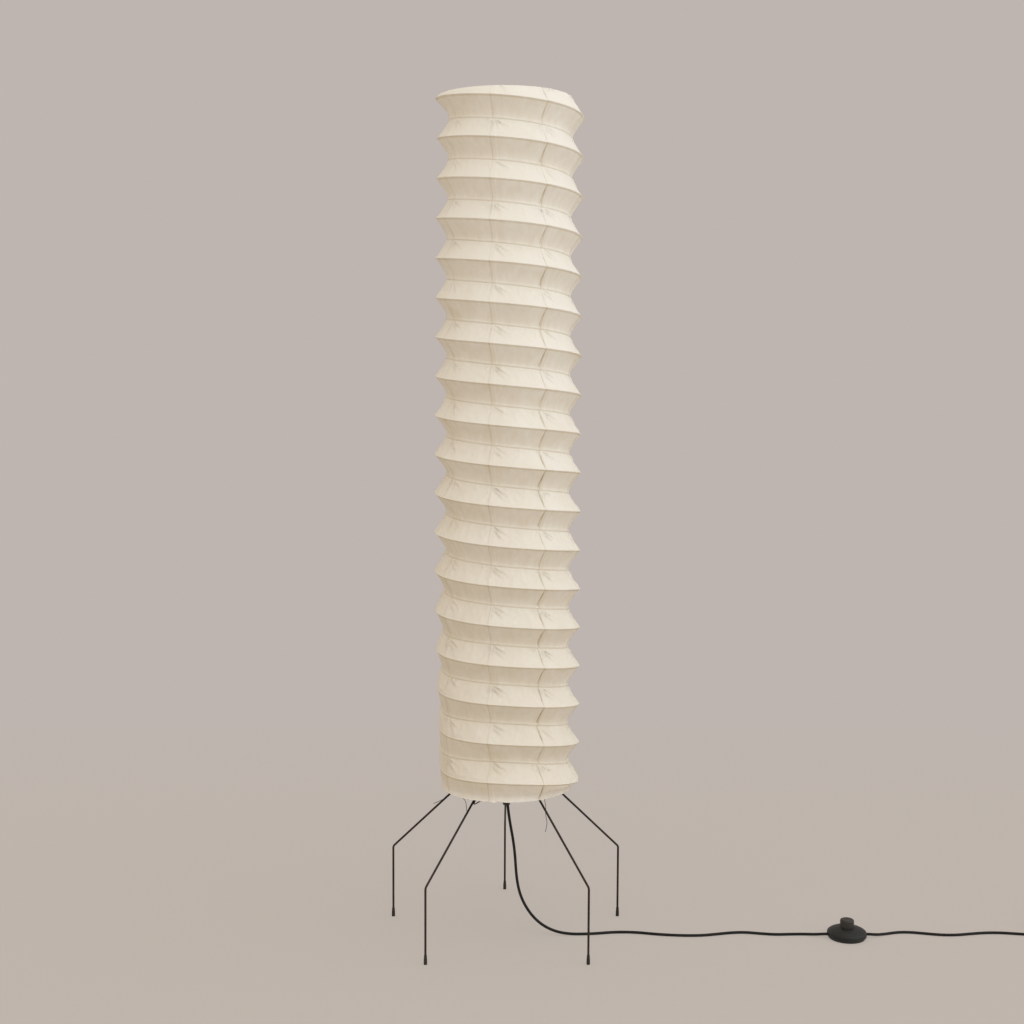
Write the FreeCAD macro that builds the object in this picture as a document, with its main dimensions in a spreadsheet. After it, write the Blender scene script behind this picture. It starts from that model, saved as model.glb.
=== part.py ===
"""Paper lantern floor lamp: five bent wire legs, a stem with two bulbs and a tall pleated paper shade.

Millimetres, +Z up, the origin on the floor under the stem, the front of the lamp towards -Y.
The paper is folded along a helix: ridges and valleys fall steadily from left to right round the shade.
"""
import FreeCAD, Part
import math
import os
import Sketcher
from types import SimpleNamespace
from FreeCAD import Placement, Rotation, Vector

# ---------------------------------------------------------------- driving dimensions
DIMENSIONS = {
    # paper shade
    "shade_top": 1546.0,
    "shade_bottom": 278.0,
    "ridge_radius": 135.0,
    "valley_radius": 113.0,
    "rim_radius": 121.5,
    "fold_pitch": 71.4,
    "front_ridge": 1526.6,
    "ridge_fade": 16.0,
    "valley_fade": 57.0,
    "paper_wall": 0.9,
    "paper_gap": 0.5,
    "seam_turn": -15.0,
    "seam_gap": 0.15,
    "rib_radius": 1.1,
    "ring_wire_radius": 1.5,
    "ring_inset": 3.0,
    "top_ring_shift": 9.0,
    # stem and hub
    "stem_radius": 6.0,
    "stem_bore": 5.0,
    "stem_foot": 245.0,
    "stem_below_top": 11.0,
    "bush_radius": 6.7,
    "bush_plate": 4.0,
    "bush_spigot": 8.0,
    "slide_gap": 0.05,
    "touch_gap": 0.3,
    "hub_radius": 17.0,
    "hub_bottom": 339.0,
    "hub_tall": 24.0,
    "nut_flats": 17.0,
    "nut_thick": 4.0,
    # legs
    "wire_radius": 2.0,
    "foot_circle": 228.7,
    "knee_rise": 139.0,
    "leg_apex": 361.0,
    "leg_start": 8.5,
    "knee_bend": 9.0,
    "stand_turn": 0.84,
    "front_splay": 3.3,
    "tip_radius": 3.15,
    "tip_tall": 17.0,
    "tip_floor": 3.0,
    "grub_radius": 1.5,
    "grub_circle": 12.0,
    "hook_wire_radius": 1.0,
    # top spreader
    "boss_radius": 10.0,
    "boss_tall": 16.0,
    "boss_depth": 7.0,
    "arm_radius": 1.5,
    # lampholders and bulbs
    "lower_holder": 470.0,
    "upper_holder": 1010.0,
    "holder_offset": 42.0,
    "bracket_plate": 3.0,
    "bracket_width": 26.0,
    "collar_radius": 11.0,
    "collar_tall": 14.0,
    "nipple_radius": 5.0,
    "nipple_bore": 3.4,
    "nipple_long": 18.0,
    "holder_radius": 20.0,
    "holder_cap_tall": 22.0,
    "holder_shell_tall": 34.0,
    "holder_bore": 15.6,
    "holder_wall_floor": 3.0,
    "contact_radius": 4.0,
    "contact_tall": 3.0,
    "cap_radius": 13.0,
    "cap_tall": 26.0,
    "bulb_radius": 30.0,
    "bulb_tall": 108.0,
    # mains cord, foot switch and plug
    "cord_radius": 2.65,
    "cord_exit_shift": 2.2,
    "lead_radius": 1.6,
    "switch_x": 638.4,
    "switch_y": -36.0,
    "switch_radius": 36.5,
    "switch_foot_radius": 33.5,
    "switch_split": 9.0,
    "switch_tall": 21.0,
    "switch_wall": 2.2,
    "switch_entry": 6.5,
    "switch_cord_end": 10.0,
    "switch_screw_circle": 24.0,
    "switch_post_radius": 3.2,
    "screw_head_radius": 3.0,
    "screw_head_tall": 1.2,
    "collar_hole": 13.4,
    "button_radius": 13.0,
    "button_top": 35.0,
    "spring_radius": 6.0,
    "spring_wire": 0.5,
    "spring_turns": 4.0,
    "contact_block": 12.0,
    "coil_x": 1034.0,
    "coil_y": 14.0,
    "coil_radius": 38.0,
    "coil_step": 5.9,
    "coil_layer": 5.8,
    "coil_turns": 4.0,
    "coil_tail": 20.0,
    "plug_long": 36.0,
    "plug_width": 30.0,
    "relief_long": 26.0,
    "relief_radius": 4.4,
    "pin_radius": 2.0,
    "pin_long": 19.0,
    "pin_spacing": 18.6,
}


class Size:
    """A length that knows both its value and the sheet expression that gives it."""

    def __init__(self, value, text):
        self.value = float(value)
        self.text = text

    def __add__(self, other):
        other = as_size(other)
        return Size(self.value + other.value, f"({self.text} + {other.text})")

    def __sub__(self, other):
        other = as_size(other)
        return Size(self.value - other.value, f"({self.text} - {other.text})")

    def __mul__(self, factor):
        factor = as_size(factor)
        return Size(self.value * factor.value, f"({self.text} * {factor.text})")

    def __truediv__(self, factor):
        factor = as_size(factor)
        return Size(self.value / factor.value, f"({self.text} / {factor.text})")

    __radd__ = __add__
    __rmul__ = __mul__


def as_size(value):
    return value if isinstance(value, Size) else Size(value, repr(value))


doc = FreeCAD.newDocument("PaperLanternFloorLamp")
sheet = doc.addObject("Spreadsheet::Sheet", "Sizes")
for row, (alias, length) in enumerate(DIMENSIONS.items(), start=1):
    sheet.set(f"A{row}", alias.replace("_", " "))
    sheet.set(f"B{row}", str(length))
    sheet.setAlias(f"B{row}", alias)
doc.recompute()
S = SimpleNamespace(**{alias: Size(sheet.get(alias), f"Sizes.{alias}") for alias in DIMENSIONS})
V = SimpleNamespace(**{alias: float(sheet.get(alias)) for alias in DIMENSIONS})

sub_parts = {}


def finish(label, item):
    """Label the item as a sub-part; the label is also its file name."""
    item.Label = label
    sub_parts[label] = item
    return item


def bind(item, **sizes):
    """Bind properties of the item to sheet expressions."""
    for name, length in sizes.items():
        item.setExpression(name, as_size(length).text)


def seat(item, x=0, y=0, z=0):
    """Place the item by expressions on its Placement."""
    for axis, length in (("x", x), ("y", y), ("z", z)):
        item.setExpression(f"Placement.Base.{axis}", as_size(length).text)
    return item


# ---------------------------------------------------------------- primitives and booleans
def cylinder(name, radius, tall, x=0, y=0, z=0):
    item = doc.addObject("Part::Cylinder", name)
    bind(item, Radius=radius, Height=tall)
    return seat(item, x, y, z)


def box(name, length, width, tall, x, y, z):
    item = doc.addObject("Part::Box", name)
    bind(item, Length=length, Width=width, Height=tall)
    return seat(item, x, y, z)


def cut(name, base, tool):
    item = doc.addObject("Part::Cut", name)
    item.Base = base
    item.Tool = tool
    return item


def group(name, items, kind="Part::MultiFuse"):
    item = doc.addObject(kind, name)
    if kind == "Part::Compound":
        item.Links = items
    else:
        item.Shapes = items
    return item


def tube(name, radius, bore, tall, x=0, y=0, z=0):
    over = Size(1, "1")
    outer = cylinder(f"{name}_outer", radius, tall, x, y, z)
    inner = cylinder(f"{name}_bore", bore, as_size(tall) + over * 2, x, y, as_size(z) - over)
    return cut(f"{name}_tube", outer, inner)


def shaped(label, shape, place=None):
    """A sub-part whose shape comes from wires and lofts that no feature draws."""
    item = doc.addObject("Part::Feature", label)
    item.Shape = shape
    item.Placement = place or Placement()
    return finish(label, item)


# ---------------------------------------------------------------- turned bodies
def origin_feature(body, role):
    return next(f for f in body.Origin.OriginFeatures if f.Role == role)


def draw_outline(sketch, outline):
    """Close a polygon through (across, up) points and bind every corner to the sheet."""
    points = [Vector(as_size(a).value, as_size(b).value, 0) for a, b in outline]
    count = len(points)
    for i in range(count):
        sketch.addGeometry(Part.LineSegment(points[i], points[(i + 1) % count]), False)
    sketch.addConstraint([_coincident(i, (i + 1) % count) for i in range(count)])
    for i, corner in enumerate(outline):
        for length, kind, axis in ((corner[0], "DistanceX", -2), (corner[1], "DistanceY", -1)):
            length = as_size(length)
            if length.value == 0:
                sketch.addConstraint(Sketcher.Constraint("PointOnObject", i, 1, axis))
            else:
                index = sketch.addConstraint(Sketcher.Constraint(kind, -1, 1, i, 1, length.value))
                sketch.setExpression(f"Constraints[{index}]", length.text)


def _coincident(i, j):
    return Sketcher.Constraint("Coincident", i, 2, j, 1)


def turned(label, outline, x=0, y=0, z=0):
    """A body turned about its own vertical axis from an outline of (radius, height) points."""
    body = doc.addObject("PartDesign::Body", label)
    sketch = body.newObject("Sketcher::SketchObject", f"{label}_outline")
    sketch.AttachmentSupport = (origin_feature(body, "XZ_Plane"), [""])
    sketch.MapMode = "FlatFace"
    draw_outline(sketch, outline)
    turn = body.newObject("PartDesign::Revolution", f"{label}_turned")
    turn.Profile = sketch
    turn.ReferenceAxis = (origin_feature(body, "Z_Axis"), [""])
    turn.Angle = 360
    return seat(body, x, y, z)


# ---------------------------------------------------------------- wires and tubes along a path
def on_circle(radius, azimuth, height=0.0):
    """A point by its radius, its azimuth in degrees from +X and its height."""
    turn = math.radians(azimuth)
    return Vector(radius * math.cos(turn), radius * math.sin(turn), height)


def corner_arc(before, corner, after, radius):
    """The tangent points and the middle of the arc that rounds a corner."""
    back = (before - corner).normalize()
    ahead = (after - corner).normalize()
    half = back.getAngle(ahead) / 2
    reach = radius / math.tan(half)
    middle = (back + ahead).normalize()
    centre = corner + middle * (radius / math.sin(half))
    return corner + back * reach, centre - middle * radius, corner + ahead * reach


def rounded_path(points, radii):
    """Straight runs joined by tangent arcs, one radius for each inner point."""
    edges = []
    here = points[0]
    for before, corner, after, radius in zip(points, points[1:], points[2:], radii):
        start, middle, end = corner_arc(before, corner, after, radius)
        if (start - here).Length > 1e-6:
            edges.append(Part.LineSegment(here, start).toShape())
        edges.append(Part.Arc(start, middle, end).toShape())
        here = end
    edges.append(Part.LineSegment(here, points[-1]).toShape())
    return Part.Wire(edges)


def cord_radii(points):
    """As large as both runs allow: 0.45 of the shorter run over the tangent of half the turn."""
    radii = []
    for before, corner, after in zip(points, points[1:], points[2:]):
        turn = (corner - before).getAngle(after - corner)
        shorter = min((corner - before).Length, (after - corner).Length)
        radii.append(0.45 * shorter / math.tan(turn / 2))
    return radii


def swept(path, radius):
    """A round tube along a wire of tangent edges."""
    first = path.OrderedEdges[0]
    start = first.valueAt(first.FirstParameter)
    ahead = first.tangentAt(first.FirstParameter)
    if path.OrderedEdges[0].Orientation == "Reversed":
        start = first.valueAt(first.LastParameter)
        ahead = first.tangentAt(first.LastParameter) * -1
    ring = Part.Wire([Part.makeCircle(radius, start, ahead)])
    shell = Part.BRepOffsetAPI.MakePipeShell(path)
    shell.add(ring)
    shell.build()
    shell.makeSolid()
    return shell.shape()


def biarc(start, along, end, onward):
    """Two tangent arcs from one point and direction to the next."""
    chord = end - start
    both = along + onward
    square = 2 * (1 - along.dot(onward))
    if square < 1e-12:
        reach = chord.dot(chord) / (4 * chord.dot(onward))
    else:
        reach = (-chord.dot(both) + math.sqrt(chord.dot(both) ** 2 + square * chord.dot(chord))) / square
    first = start + along * reach
    second = end - onward * reach
    joint = (first + second) * 0.5
    return [arc_by_corner(start, first, joint), arc_by_corner(joint, second, end)]


def arc_by_corner(start, corner, end):
    """The arc that touches both sides of an even corner."""
    middle = (start + end) * 0.5
    rise = corner - middle
    if rise.Length < 1e-6:
        return Part.LineSegment(start, end).toShape()
    half = (end - start).Length / 2
    slope = math.atan2(rise.Length, half)
    return Part.Arc(start, middle + rise.normalize() * (half * math.tan(slope / 2)), end).toShape()


def wound_path(point_at, turns, steps_per_turn=4, last_way=None):
    """A smooth wire of biarcs through a curve given by its point at each number of turns."""
    count = max(2, round(turns * steps_per_turn))
    stops = [turns * i / count for i in range(count + 1)]
    small = 1e-5
    points = [point_at(t) for t in stops]
    ways = [(point_at(t + small) - point_at(t - small)).normalize() for t in stops]
    ways[-1] = last_way or ways[-1]
    edges = []
    for i in range(count):
        edges += biarc(points[i], ways[i], points[i + 1], ways[i + 1])
    return Part.Wire(edges)


# ---------------------------------------------------------------- paper shade
GORES = 8
GORE_ANGLE = 360 / GORES
BEYOND_RIM = 30.0


def share(value, low, high):
    """How far a value lies from low to high, held between 0 and 1."""
    return min(1.0, max(0.0, (value - low) / (high - low)))


def fold_height(half_turns, turn):
    """Height of a fold line; turn is measured from the front, in degrees, rising to the right."""
    return V.front_ridge - V.fold_pitch * (half_turns / 2 + turn / 360)


def fold_radius(half_turns, height):
    """Outer radius of the paper at a fold: even folds are ridges, odd ones valleys.

    Near the bottom rim both run into the plain band that is pasted over the bottom ring.
    """
    above = height - V.shade_bottom
    if half_turns % 2 == 0:
        return V.rim_radius + (V.ridge_radius - V.rim_radius) * share(above, 0, V.ridge_fade)
    bare = V.valley_fade / 2
    return V.rim_radius + (V.valley_radius - V.rim_radius) * share(above, bare, V.valley_fade)


def paper_radius(turn, height):
    """Outer radius of the paper at any height."""
    half_turns = (V.front_ridge - height) / V.fold_pitch * 2 - turn / 180
    upper = math.floor(half_turns)
    low, high = fold_height(upper + 1, turn), fold_height(upper, turn)
    part = (high - height) / (high - low)
    return fold_radius(upper, high) * (1 - part) + fold_radius(upper + 1, low) * part


def fold_edge(half_turns, turns, inwards):
    """The arc of one fold line across a gore, set back from the outside of the paper."""
    points = []
    for turn in turns:
        height = fold_height(half_turns, turn)
        points.append(on_circle(fold_radius(half_turns, height) - inwards, turn - 90, height))
    return Part.Arc(*points).toShape()


def gore(number):
    """One upright strip of paper, from seam to seam, folded along the helix."""
    gap = math.degrees(V.seam_gap / V.ridge_radius)
    start = V.seam_turn + GORE_ANGLE * number + gap
    stop = start + GORE_ANGLE - 2 * gap
    turns = (start, (start + stop) / 2, stop)
    top, bottom = V.shade_top + BEYOND_RIM, V.shade_bottom - BEYOND_RIM
    first = math.floor(2 * ((V.front_ridge - top) / V.fold_pitch - start / 360))
    last = math.ceil(2 * ((V.front_ridge - bottom) / V.fold_pitch - start / 360))
    folds = range(first, last + 1)
    outside = [fold_edge(n, turns, 0) for n in folds]
    inside = [fold_edge(n, turns, V.paper_wall) for n in folds]
    faces = []
    for edges in (outside, inside):
        faces += [Part.makeRuledSurface(a, b) for a, b in zip(edges, edges[1:])]
    faces += [Part.makeRuledSurface(outside[i], inside[i]) for i in (0, -1)]
    for end in (0, 1):
        corners = [edge.Vertexes[end].Point for edge in outside + inside[::-1]]
        faces.append(Part.Face(Part.makePolygon(corners + corners[:1])))
    wall = Part.makeSolid(Part.Shell(sewn(faces)))
    if wall.Volume < 0:
        wall.reverse()
    reach = 2 * V.ridge_radius
    slab = Part.makeBox(
        2 * reach, 2 * reach, V.shade_top - V.shade_bottom, Vector(-reach, -reach, V.shade_bottom)
    )
    return wall.common(slab)


def sewn(faces):
    shell = Part.Compound(faces)
    shell.sewShape()
    return shell.Faces


for number in range(GORES):
    strip = gore(number)
    shaped(f"paper_gore_{number + 1}", strip.Solids[0])


def rib(first_turn, last_turn, half_turns):
    """A wire rib under a fold, from one turn to another, both counted from the front ridge."""
    inside = V.paper_wall + V.paper_gap + V.rib_radius

    def point_at(turns):
        height = V.front_ridge - V.fold_pitch * (first_turn + turns)
        angle = 360 * (first_turn + turns - half_turns / 2) - 90
        return on_circle(fold_radius(half_turns, height) - inside, angle, height)

    return swept(wound_path(point_at, last_turn - first_turn), V.rib_radius)


RIB_CLEAR_OF_TOP_RING = 10.0
ridge_start = (V.front_ridge - V.shade_top + RIB_CLEAR_OF_TOP_RING) / V.fold_pitch
ridge_end = (V.front_ridge - V.shade_bottom - V.ridge_fade - V.ring_inset) / V.fold_pitch
valley_start = (V.front_ridge - V.shade_top + RIB_CLEAR_OF_TOP_RING) / V.fold_pitch
valley_end = (V.front_ridge - V.shade_bottom - V.valley_fade) / V.fold_pitch
shaped("ridge_rib", rib(ridge_start, ridge_end, 0))
shaped("valley_rib", rib(valley_start, valley_end, 1))


def ring(radius, height, shift=0.0):
    """A closed wire ring, its centre moved to the left by the shift."""
    return Part.makeTorus(radius, V.ring_wire_radius, Vector(-shift, 0, height))


bottom_ring_height = V.shade_bottom + V.ring_inset
bottom_ring_radius = V.rim_radius - V.paper_wall - V.paper_gap - V.ring_wire_radius
shaped("bottom_ring", ring(bottom_ring_radius, bottom_ring_height))


def room_for_top_ring(height):
    """The largest ring, shifted to the left, that stays inside the paper at a height."""
    inside = V.paper_wall + V.paper_gap + V.ring_wire_radius
    radii = []
    for turn in range(0, 360, 3):
        for level in (height - V.ring_wire_radius, height, height + V.ring_wire_radius):
            spot = on_circle(paper_radius(turn, level) - inside, turn - 90)
            radii.append(math.hypot(spot.x + V.top_ring_shift, spot.y))
    return min(radii)


top_ring_height = V.shade_top - V.ring_inset
top_ring_radius = room_for_top_ring(top_ring_height)
shaped("top_ring", ring(top_ring_radius, top_ring_height, V.top_ring_shift))

# ---------------------------------------------------------------- stem, cord bush and hub
stem_top = S.shade_top - S.stem_below_top
stem = tube("stem", S.stem_radius, S.stem_bore, stem_top - S.stem_foot, z=S.stem_foot)
slots = []
for name, height, side in (("lower", S.lower_holder, 1), ("upper", S.upper_holder, -1)):
    slot_x = 0 if side > 0 else S.stem_radius * -1 - 2
    slots.append(
        box(
            f"{name}_slot",
            S.stem_radius + 2,
            S.lead_radius * 2 + 1.2,
            S.lead_radius * 2 + 6,
            slot_x,
            S.lead_radius * -1 - 0.6,
            height - S.holder_cap_tall - S.nipple_long,
        )
    )
finish("stem_tube", cut("stem_with_slots", stem, group("stem_slots", slots)))

bush = turned(
    "cord_bush_outer",
    [
        (0, 0),
        (S.bush_radius, 0),
        (S.bush_radius, S.bush_plate),
        (S.stem_bore - S.slide_gap, S.bush_plate),
        (S.stem_bore - S.slide_gap, S.bush_plate + S.bush_spigot),
        (0, S.bush_plate + S.bush_spigot),
    ],
    z=S.stem_foot - S.bush_plate,
)
bush_hole = cylinder(
    "cord_bush_hole",
    S.cord_radius + S.slide_gap,
    S.bush_plate + S.bush_spigot + 2,
    S.cord_exit_shift,
    0,
    S.stem_foot - S.bush_plate - 1,
)
finish("cord_bush", cut("cord_bush_cut", bush, bush_hole))

leg_azimuths = [
    162 + V.stand_turn,
    234 + V.stand_turn - V.front_splay,
    90 + V.stand_turn,
    306 + V.stand_turn + V.front_splay,
    18 + V.stand_turn,
]
leg_slope = (V.leg_apex - V.knee_rise) / V.foot_circle


def leg_height(radius):
    """Height of a leg's sloping run at a radius."""
    return V.leg_apex - leg_slope * radius


hub = turned(
    "leg_hub_outer",
    [
        (S.stem_radius + S.slide_gap, 0),
        (S.hub_radius * 0.75, 0),
        (S.hub_radius, S.hub_tall * 0.25),
        (S.hub_radius, S.hub_tall * 0.85),
        (S.hub_radius * 0.85, S.hub_tall),
        (S.stem_radius + S.slide_gap, S.hub_tall),
    ],
    z=S.hub_bottom,
)


def leg_bore(azimuth):
    """The sloping bore of one leg, open at the hub's side."""
    outside = on_circle(V.hub_radius * 2, azimuth, leg_height(V.hub_radius * 2))
    inside = on_circle(V.leg_start - V.slide_gap, azimuth, leg_height(V.leg_start - V.slide_gap))
    radius = V.wire_radius + V.slide_gap
    return Part.makeCylinder(radius, (outside - inside).Length, inside, outside - inside)


def grub_hole(azimuth, radius):
    """The upright threaded hole over a leg, or the screw in it."""
    screw_foot = leg_height(V.grub_circle - radius) + V.wire_radius * math.hypot(1, leg_slope)
    foot = on_circle(V.grub_circle, azimuth, screw_foot + V.touch_gap)
    top = V.hub_bottom + V.hub_tall
    return Part.makeCylinder(radius, top - foot.z, foot)


bores = doc.addObject("Part::Feature", "leg_hub_bores")
bore_shapes = [leg_bore(azimuth) for azimuth in leg_azimuths]
bore_shapes += [
    Part.makeCylinder(
        V.grub_radius + V.slide_gap,
        V.hub_tall,
        on_circle(V.grub_circle, azimuth, leg_height(V.grub_circle)),
    )
    for azimuth in leg_azimuths
]
bores.Shape = Part.Compound(bore_shapes)
finish("leg_hub", cut("leg_hub_cut", hub, bores))

hub_nuts = []
for name, foot in (("lower", S.hub_bottom - S.nut_thick), ("upper", S.hub_bottom + S.hub_tall)):
    hexagon = doc.addObject("Part::Prism", f"{name}_nut_outer")
    hexagon.Polygon = 6
    bind(hexagon, Circumradius=S.nut_flats / (2 * math.cos(math.radians(30))), Height=S.nut_thick)
    seat(hexagon, z=foot)
    hole = cylinder(f"{name}_nut_hole", S.stem_radius + S.slide_gap, S.nut_thick + 2, z=foot - 1)
    hub_nuts.append(cut(f"{name}_nut", hexagon, hole))
finish("hub_nuts", group("hub_nut_pair", hub_nuts, "Part::Compound"))

# ---------------------------------------------------------------- legs, rubber tips and ring hooks
for number, azimuth in enumerate(leg_azimuths, start=1):
    line = [
        on_circle(V.leg_start, azimuth, leg_height(V.leg_start)),
        on_circle(V.foot_circle, azimuth, V.knee_rise),
        on_circle(V.foot_circle, azimuth, V.tip_floor),
    ]
    shaped(f"leg_{number}", swept(rounded_path(line, [V.knee_bend]), V.wire_radius))
    tip = turned(
        f"foot_tip_{number}",
        [
            (0, 0),
            (S.tip_radius, 0),
            (S.tip_radius, S.tip_tall - 1.2),
            (S.tip_radius - 0.5, S.tip_tall),
            (S.wire_radius + S.slide_gap, S.tip_tall),
            (S.wire_radius + S.slide_gap, S.tip_floor),
            (0, S.tip_floor),
        ],
        S.foot_circle * math.cos(math.radians(azimuth)),
        S.foot_circle * math.sin(math.radians(azimuth)),
    )
    finish(f"foot_tip_{number}", tip)

HOOK_TURNS = (10.0, 16.0, 10.0, 10.0, 10.0)
HOOK_DIPS = (2.0, 12.0, 2.0, 2.0, 2.0)


def ring_hook(azimuth, turn, dip):
    """A wire hook from a leg round and out to the bottom ring, which rests on its end."""
    under_ring = bottom_ring_height - V.ring_wire_radius - V.touch_gap - V.hook_wire_radius
    seat_height = under_ring - dip - 2
    seat_radius = (V.leg_apex - seat_height) / leg_slope
    clear = V.wire_radius + V.hook_wire_radius + V.slide_gap
    sideways = on_circle(clear, azimuth + 90)
    line = [
        on_circle(seat_radius - 9, azimuth, leg_height(seat_radius - 9)) + sideways,
        on_circle(seat_radius, azimuth, seat_height) + sideways,
        on_circle((seat_radius + bottom_ring_radius) / 2, azimuth + turn * 0.35, under_ring - dip)
        + sideways * 0.5,
        on_circle(bottom_ring_radius - 2, azimuth + turn, under_ring),
        on_circle(bottom_ring_radius + 1.0, azimuth + turn + 0.5, under_ring),
    ]
    return swept(rounded_path(line, cord_radii(line)), V.hook_wire_radius)


hooks = [ring_hook(*hook) for hook in zip(leg_azimuths, HOOK_TURNS, HOOK_DIPS)]
shaped("ring_hooks", Part.Compound(hooks))

# ---------------------------------------------------------------- top spreader
boss_foot = stem_top - S.boss_depth
finish(
    "spreader_boss",
    turned(
        "spreader_boss",
        [
            (S.stem_radius + S.slide_gap, 0),
            (S.boss_radius, 0),
            (S.boss_radius, S.boss_tall - 2),
            (S.boss_radius - 2, S.boss_tall),
            (0, S.boss_tall),
            (0, S.boss_depth + S.touch_gap),
            (S.stem_radius + S.slide_gap, S.boss_depth + S.touch_gap),
        ],
        z=boss_foot,
    ),
)

ARM_AZIMUTHS = (60, 180, 300)
arm_height = top_ring_height - V.ring_wire_radius - V.touch_gap - V.arm_radius


def spreader_arm(azimuth):
    """A straight wire from the boss to the outside of the top ring, which lies on it."""
    turn = math.radians(azimuth)
    shift = -V.top_ring_shift * math.cos(turn)
    across = V.top_ring_shift * math.sin(turn)
    reach = shift + math.sqrt(top_ring_radius**2 - across**2) + V.ring_wire_radius / 2
    start = on_circle(V.boss_radius, azimuth, arm_height)
    return Part.makeCylinder(V.arm_radius, reach - V.boss_radius, start, on_circle(1, azimuth))


shaped("spreader_arms", Part.Compound([spreader_arm(azimuth) for azimuth in ARM_AZIMUTHS]))

# ---------------------------------------------------------------- grub screws
screws = [grub_hole(azimuth, V.grub_radius) for azimuth in leg_azimuths]
shaped("grub_screws", Part.Compound(screws))

# ---------------------------------------------------------------- lampholders, bulbs and brackets
nipples = []
contacts = []
for name, height, side in (("lower", S.lower_holder, 1), ("upper", S.upper_holder, -1)):
    centre = S.holder_offset * side
    collar = cylinder(f"{name}_collar", S.collar_radius, S.collar_tall, z=height - S.collar_tall)
    plate_start = 0 if side > 0 else centre - S.bracket_width / 2
    plate = box(
        f"{name}_plate",
        S.holder_offset + S.bracket_width / 2,
        S.bracket_width,
        S.bracket_plate,
        plate_start,
        S.bracket_width * -0.5,
        height - S.bracket_plate,
    )
    holes = group(
        f"{name}_bracket_holes",
        [
            cylinder(
                f"{name}_collar_hole",
                S.stem_radius + S.slide_gap,
                S.collar_tall + 2,
                z=height - S.collar_tall - 1,
            ),
            cylinder(
                f"{name}_nipple_hole",
                S.nipple_radius + S.slide_gap,
                S.bracket_plate + 2,
                centre,
                0,
                height - S.bracket_plate - 1,
            ),
        ],
    )
    bracket = group(f"{name}_bracket_blank", [collar, plate])
    finish(f"bracket_{name}", cut(f"{name}_bracket_cut", bracket, holes))

    nipple_foot = height + S.holder_wall_floor * 2 - S.nipple_long
    nipples.append(
        tube(f"{name}_nipple", S.nipple_radius, S.nipple_bore, S.nipple_long, centre, 0, nipple_foot)
    )
    finish(
        f"holder_cap_{name}",
        turned(
            f"holder_cap_{name}",
            [
                (S.nipple_radius + S.slide_gap, 0),
                (S.holder_radius * 0.6, 0),
                (S.holder_radius, S.holder_cap_tall * 0.6),
                (S.holder_radius, S.holder_cap_tall),
                (S.holder_radius - 2, S.holder_cap_tall),
                (S.holder_radius - 2, S.holder_cap_tall * 0.6),
                (S.holder_radius * 0.6 - 2, S.holder_wall_floor),
                (S.nipple_radius + S.slide_gap, S.holder_wall_floor),
            ],
            centre,
            0,
            height,
        ),
    )
    shell_foot = height + S.holder_cap_tall
    finish(
        f"holder_shell_{name}",
        turned(
            f"holder_shell_{name}",
            [
                (0, 0),
                (S.holder_radius, 0),
                (S.holder_radius, S.holder_shell_tall - 2),
                (S.holder_radius - 1.5, S.holder_shell_tall),
                (S.holder_bore, S.holder_shell_tall),
                (S.holder_bore, S.holder_wall_floor),
                (0, S.holder_wall_floor),
            ],
            centre,
            0,
            shell_foot,
        ),
    )
    contact_foot = shell_foot + S.holder_wall_floor
    contacts.append(
        cylinder(f"{name}_contact", S.contact_radius, S.contact_tall, centre, 0, contact_foot)
    )
    bulb_foot = contact_foot + S.contact_tall
    finish(
        f"bulb_cap_{name}",
        turned(
            f"bulb_cap_{name}",
            [
                (0, 0),
                (S.contact_radius, 0),
                (S.cap_radius, S.contact_tall),
                (S.cap_radius, S.cap_tall),
                (0, S.cap_tall),
            ],
            centre,
            0,
            bulb_foot,
        ),
    )
    ball = doc.addObject("Part::Sphere", f"{name}_bulb_ball")
    bind(ball, Radius=S.bulb_radius)
    ball_height = bulb_foot + S.bulb_tall - S.bulb_radius
    seat(ball, centre, 0, ball_height)
    neck = doc.addObject("Part::Cone", f"{name}_bulb_neck")
    neck_foot = bulb_foot + S.cap_tall
    bind(
        neck,
        Radius1=S.cap_radius,
        Radius2=S.bulb_radius * 0.9,
        Height=ball_height - neck_foot - S.bulb_radius * 0.3,
    )
    seat(neck, centre, 0, neck_foot)
    finish(f"bulb_glass_{name}", group(f"{name}_bulb", [ball, neck]))
finish("holder_nipples", group("holder_nipple_pair", nipples, "Part::Compound"))
finish("holder_contacts", group("holder_contact_pair", contacts, "Part::Compound"))

# ---------------------------------------------------------------- wiring inside the stem
LEAD_ABOVE_SLOT = 3.0


def lead_height(holder):
    """Height at which the lead of a lampholder passes through the stem's slot."""
    return holder - V.holder_cap_tall - V.nipple_long + LEAD_ABOVE_SLOT + V.lead_radius


inner_cord_foot = V.stem_foot - V.bush_plate
inner_cord_top = lead_height(V.upper_holder) - V.lead_radius - V.touch_gap
inner_cord = Part.makeCylinder(
    V.cord_radius,
    inner_cord_top - inner_cord_foot,
    Vector(V.cord_exit_shift, 0, inner_cord_foot),
)
shaped("inner_cord", inner_cord)


def holder_lead(holder, side, start):
    """A thin lead from the cord in the stem, through a slot and up into a lampholder's nipple."""
    slot = lead_height(holder)
    out = V.holder_offset * side
    line = [
        Vector(start, 0, slot),
        Vector(out * 0.55, 0, slot),
        Vector(out, 0, slot + 4),
        Vector(out, 0, holder),
    ]
    return swept(rounded_path(line, [14.0, 10.0]), V.lead_radius)


beside_cord = V.cord_exit_shift + V.cord_radius + V.touch_gap
shaped("lead_lower", holder_lead(V.lower_holder, 1, beside_cord))
shaped("lead_upper", holder_lead(V.upper_holder, -1, V.cord_exit_shift))


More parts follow.
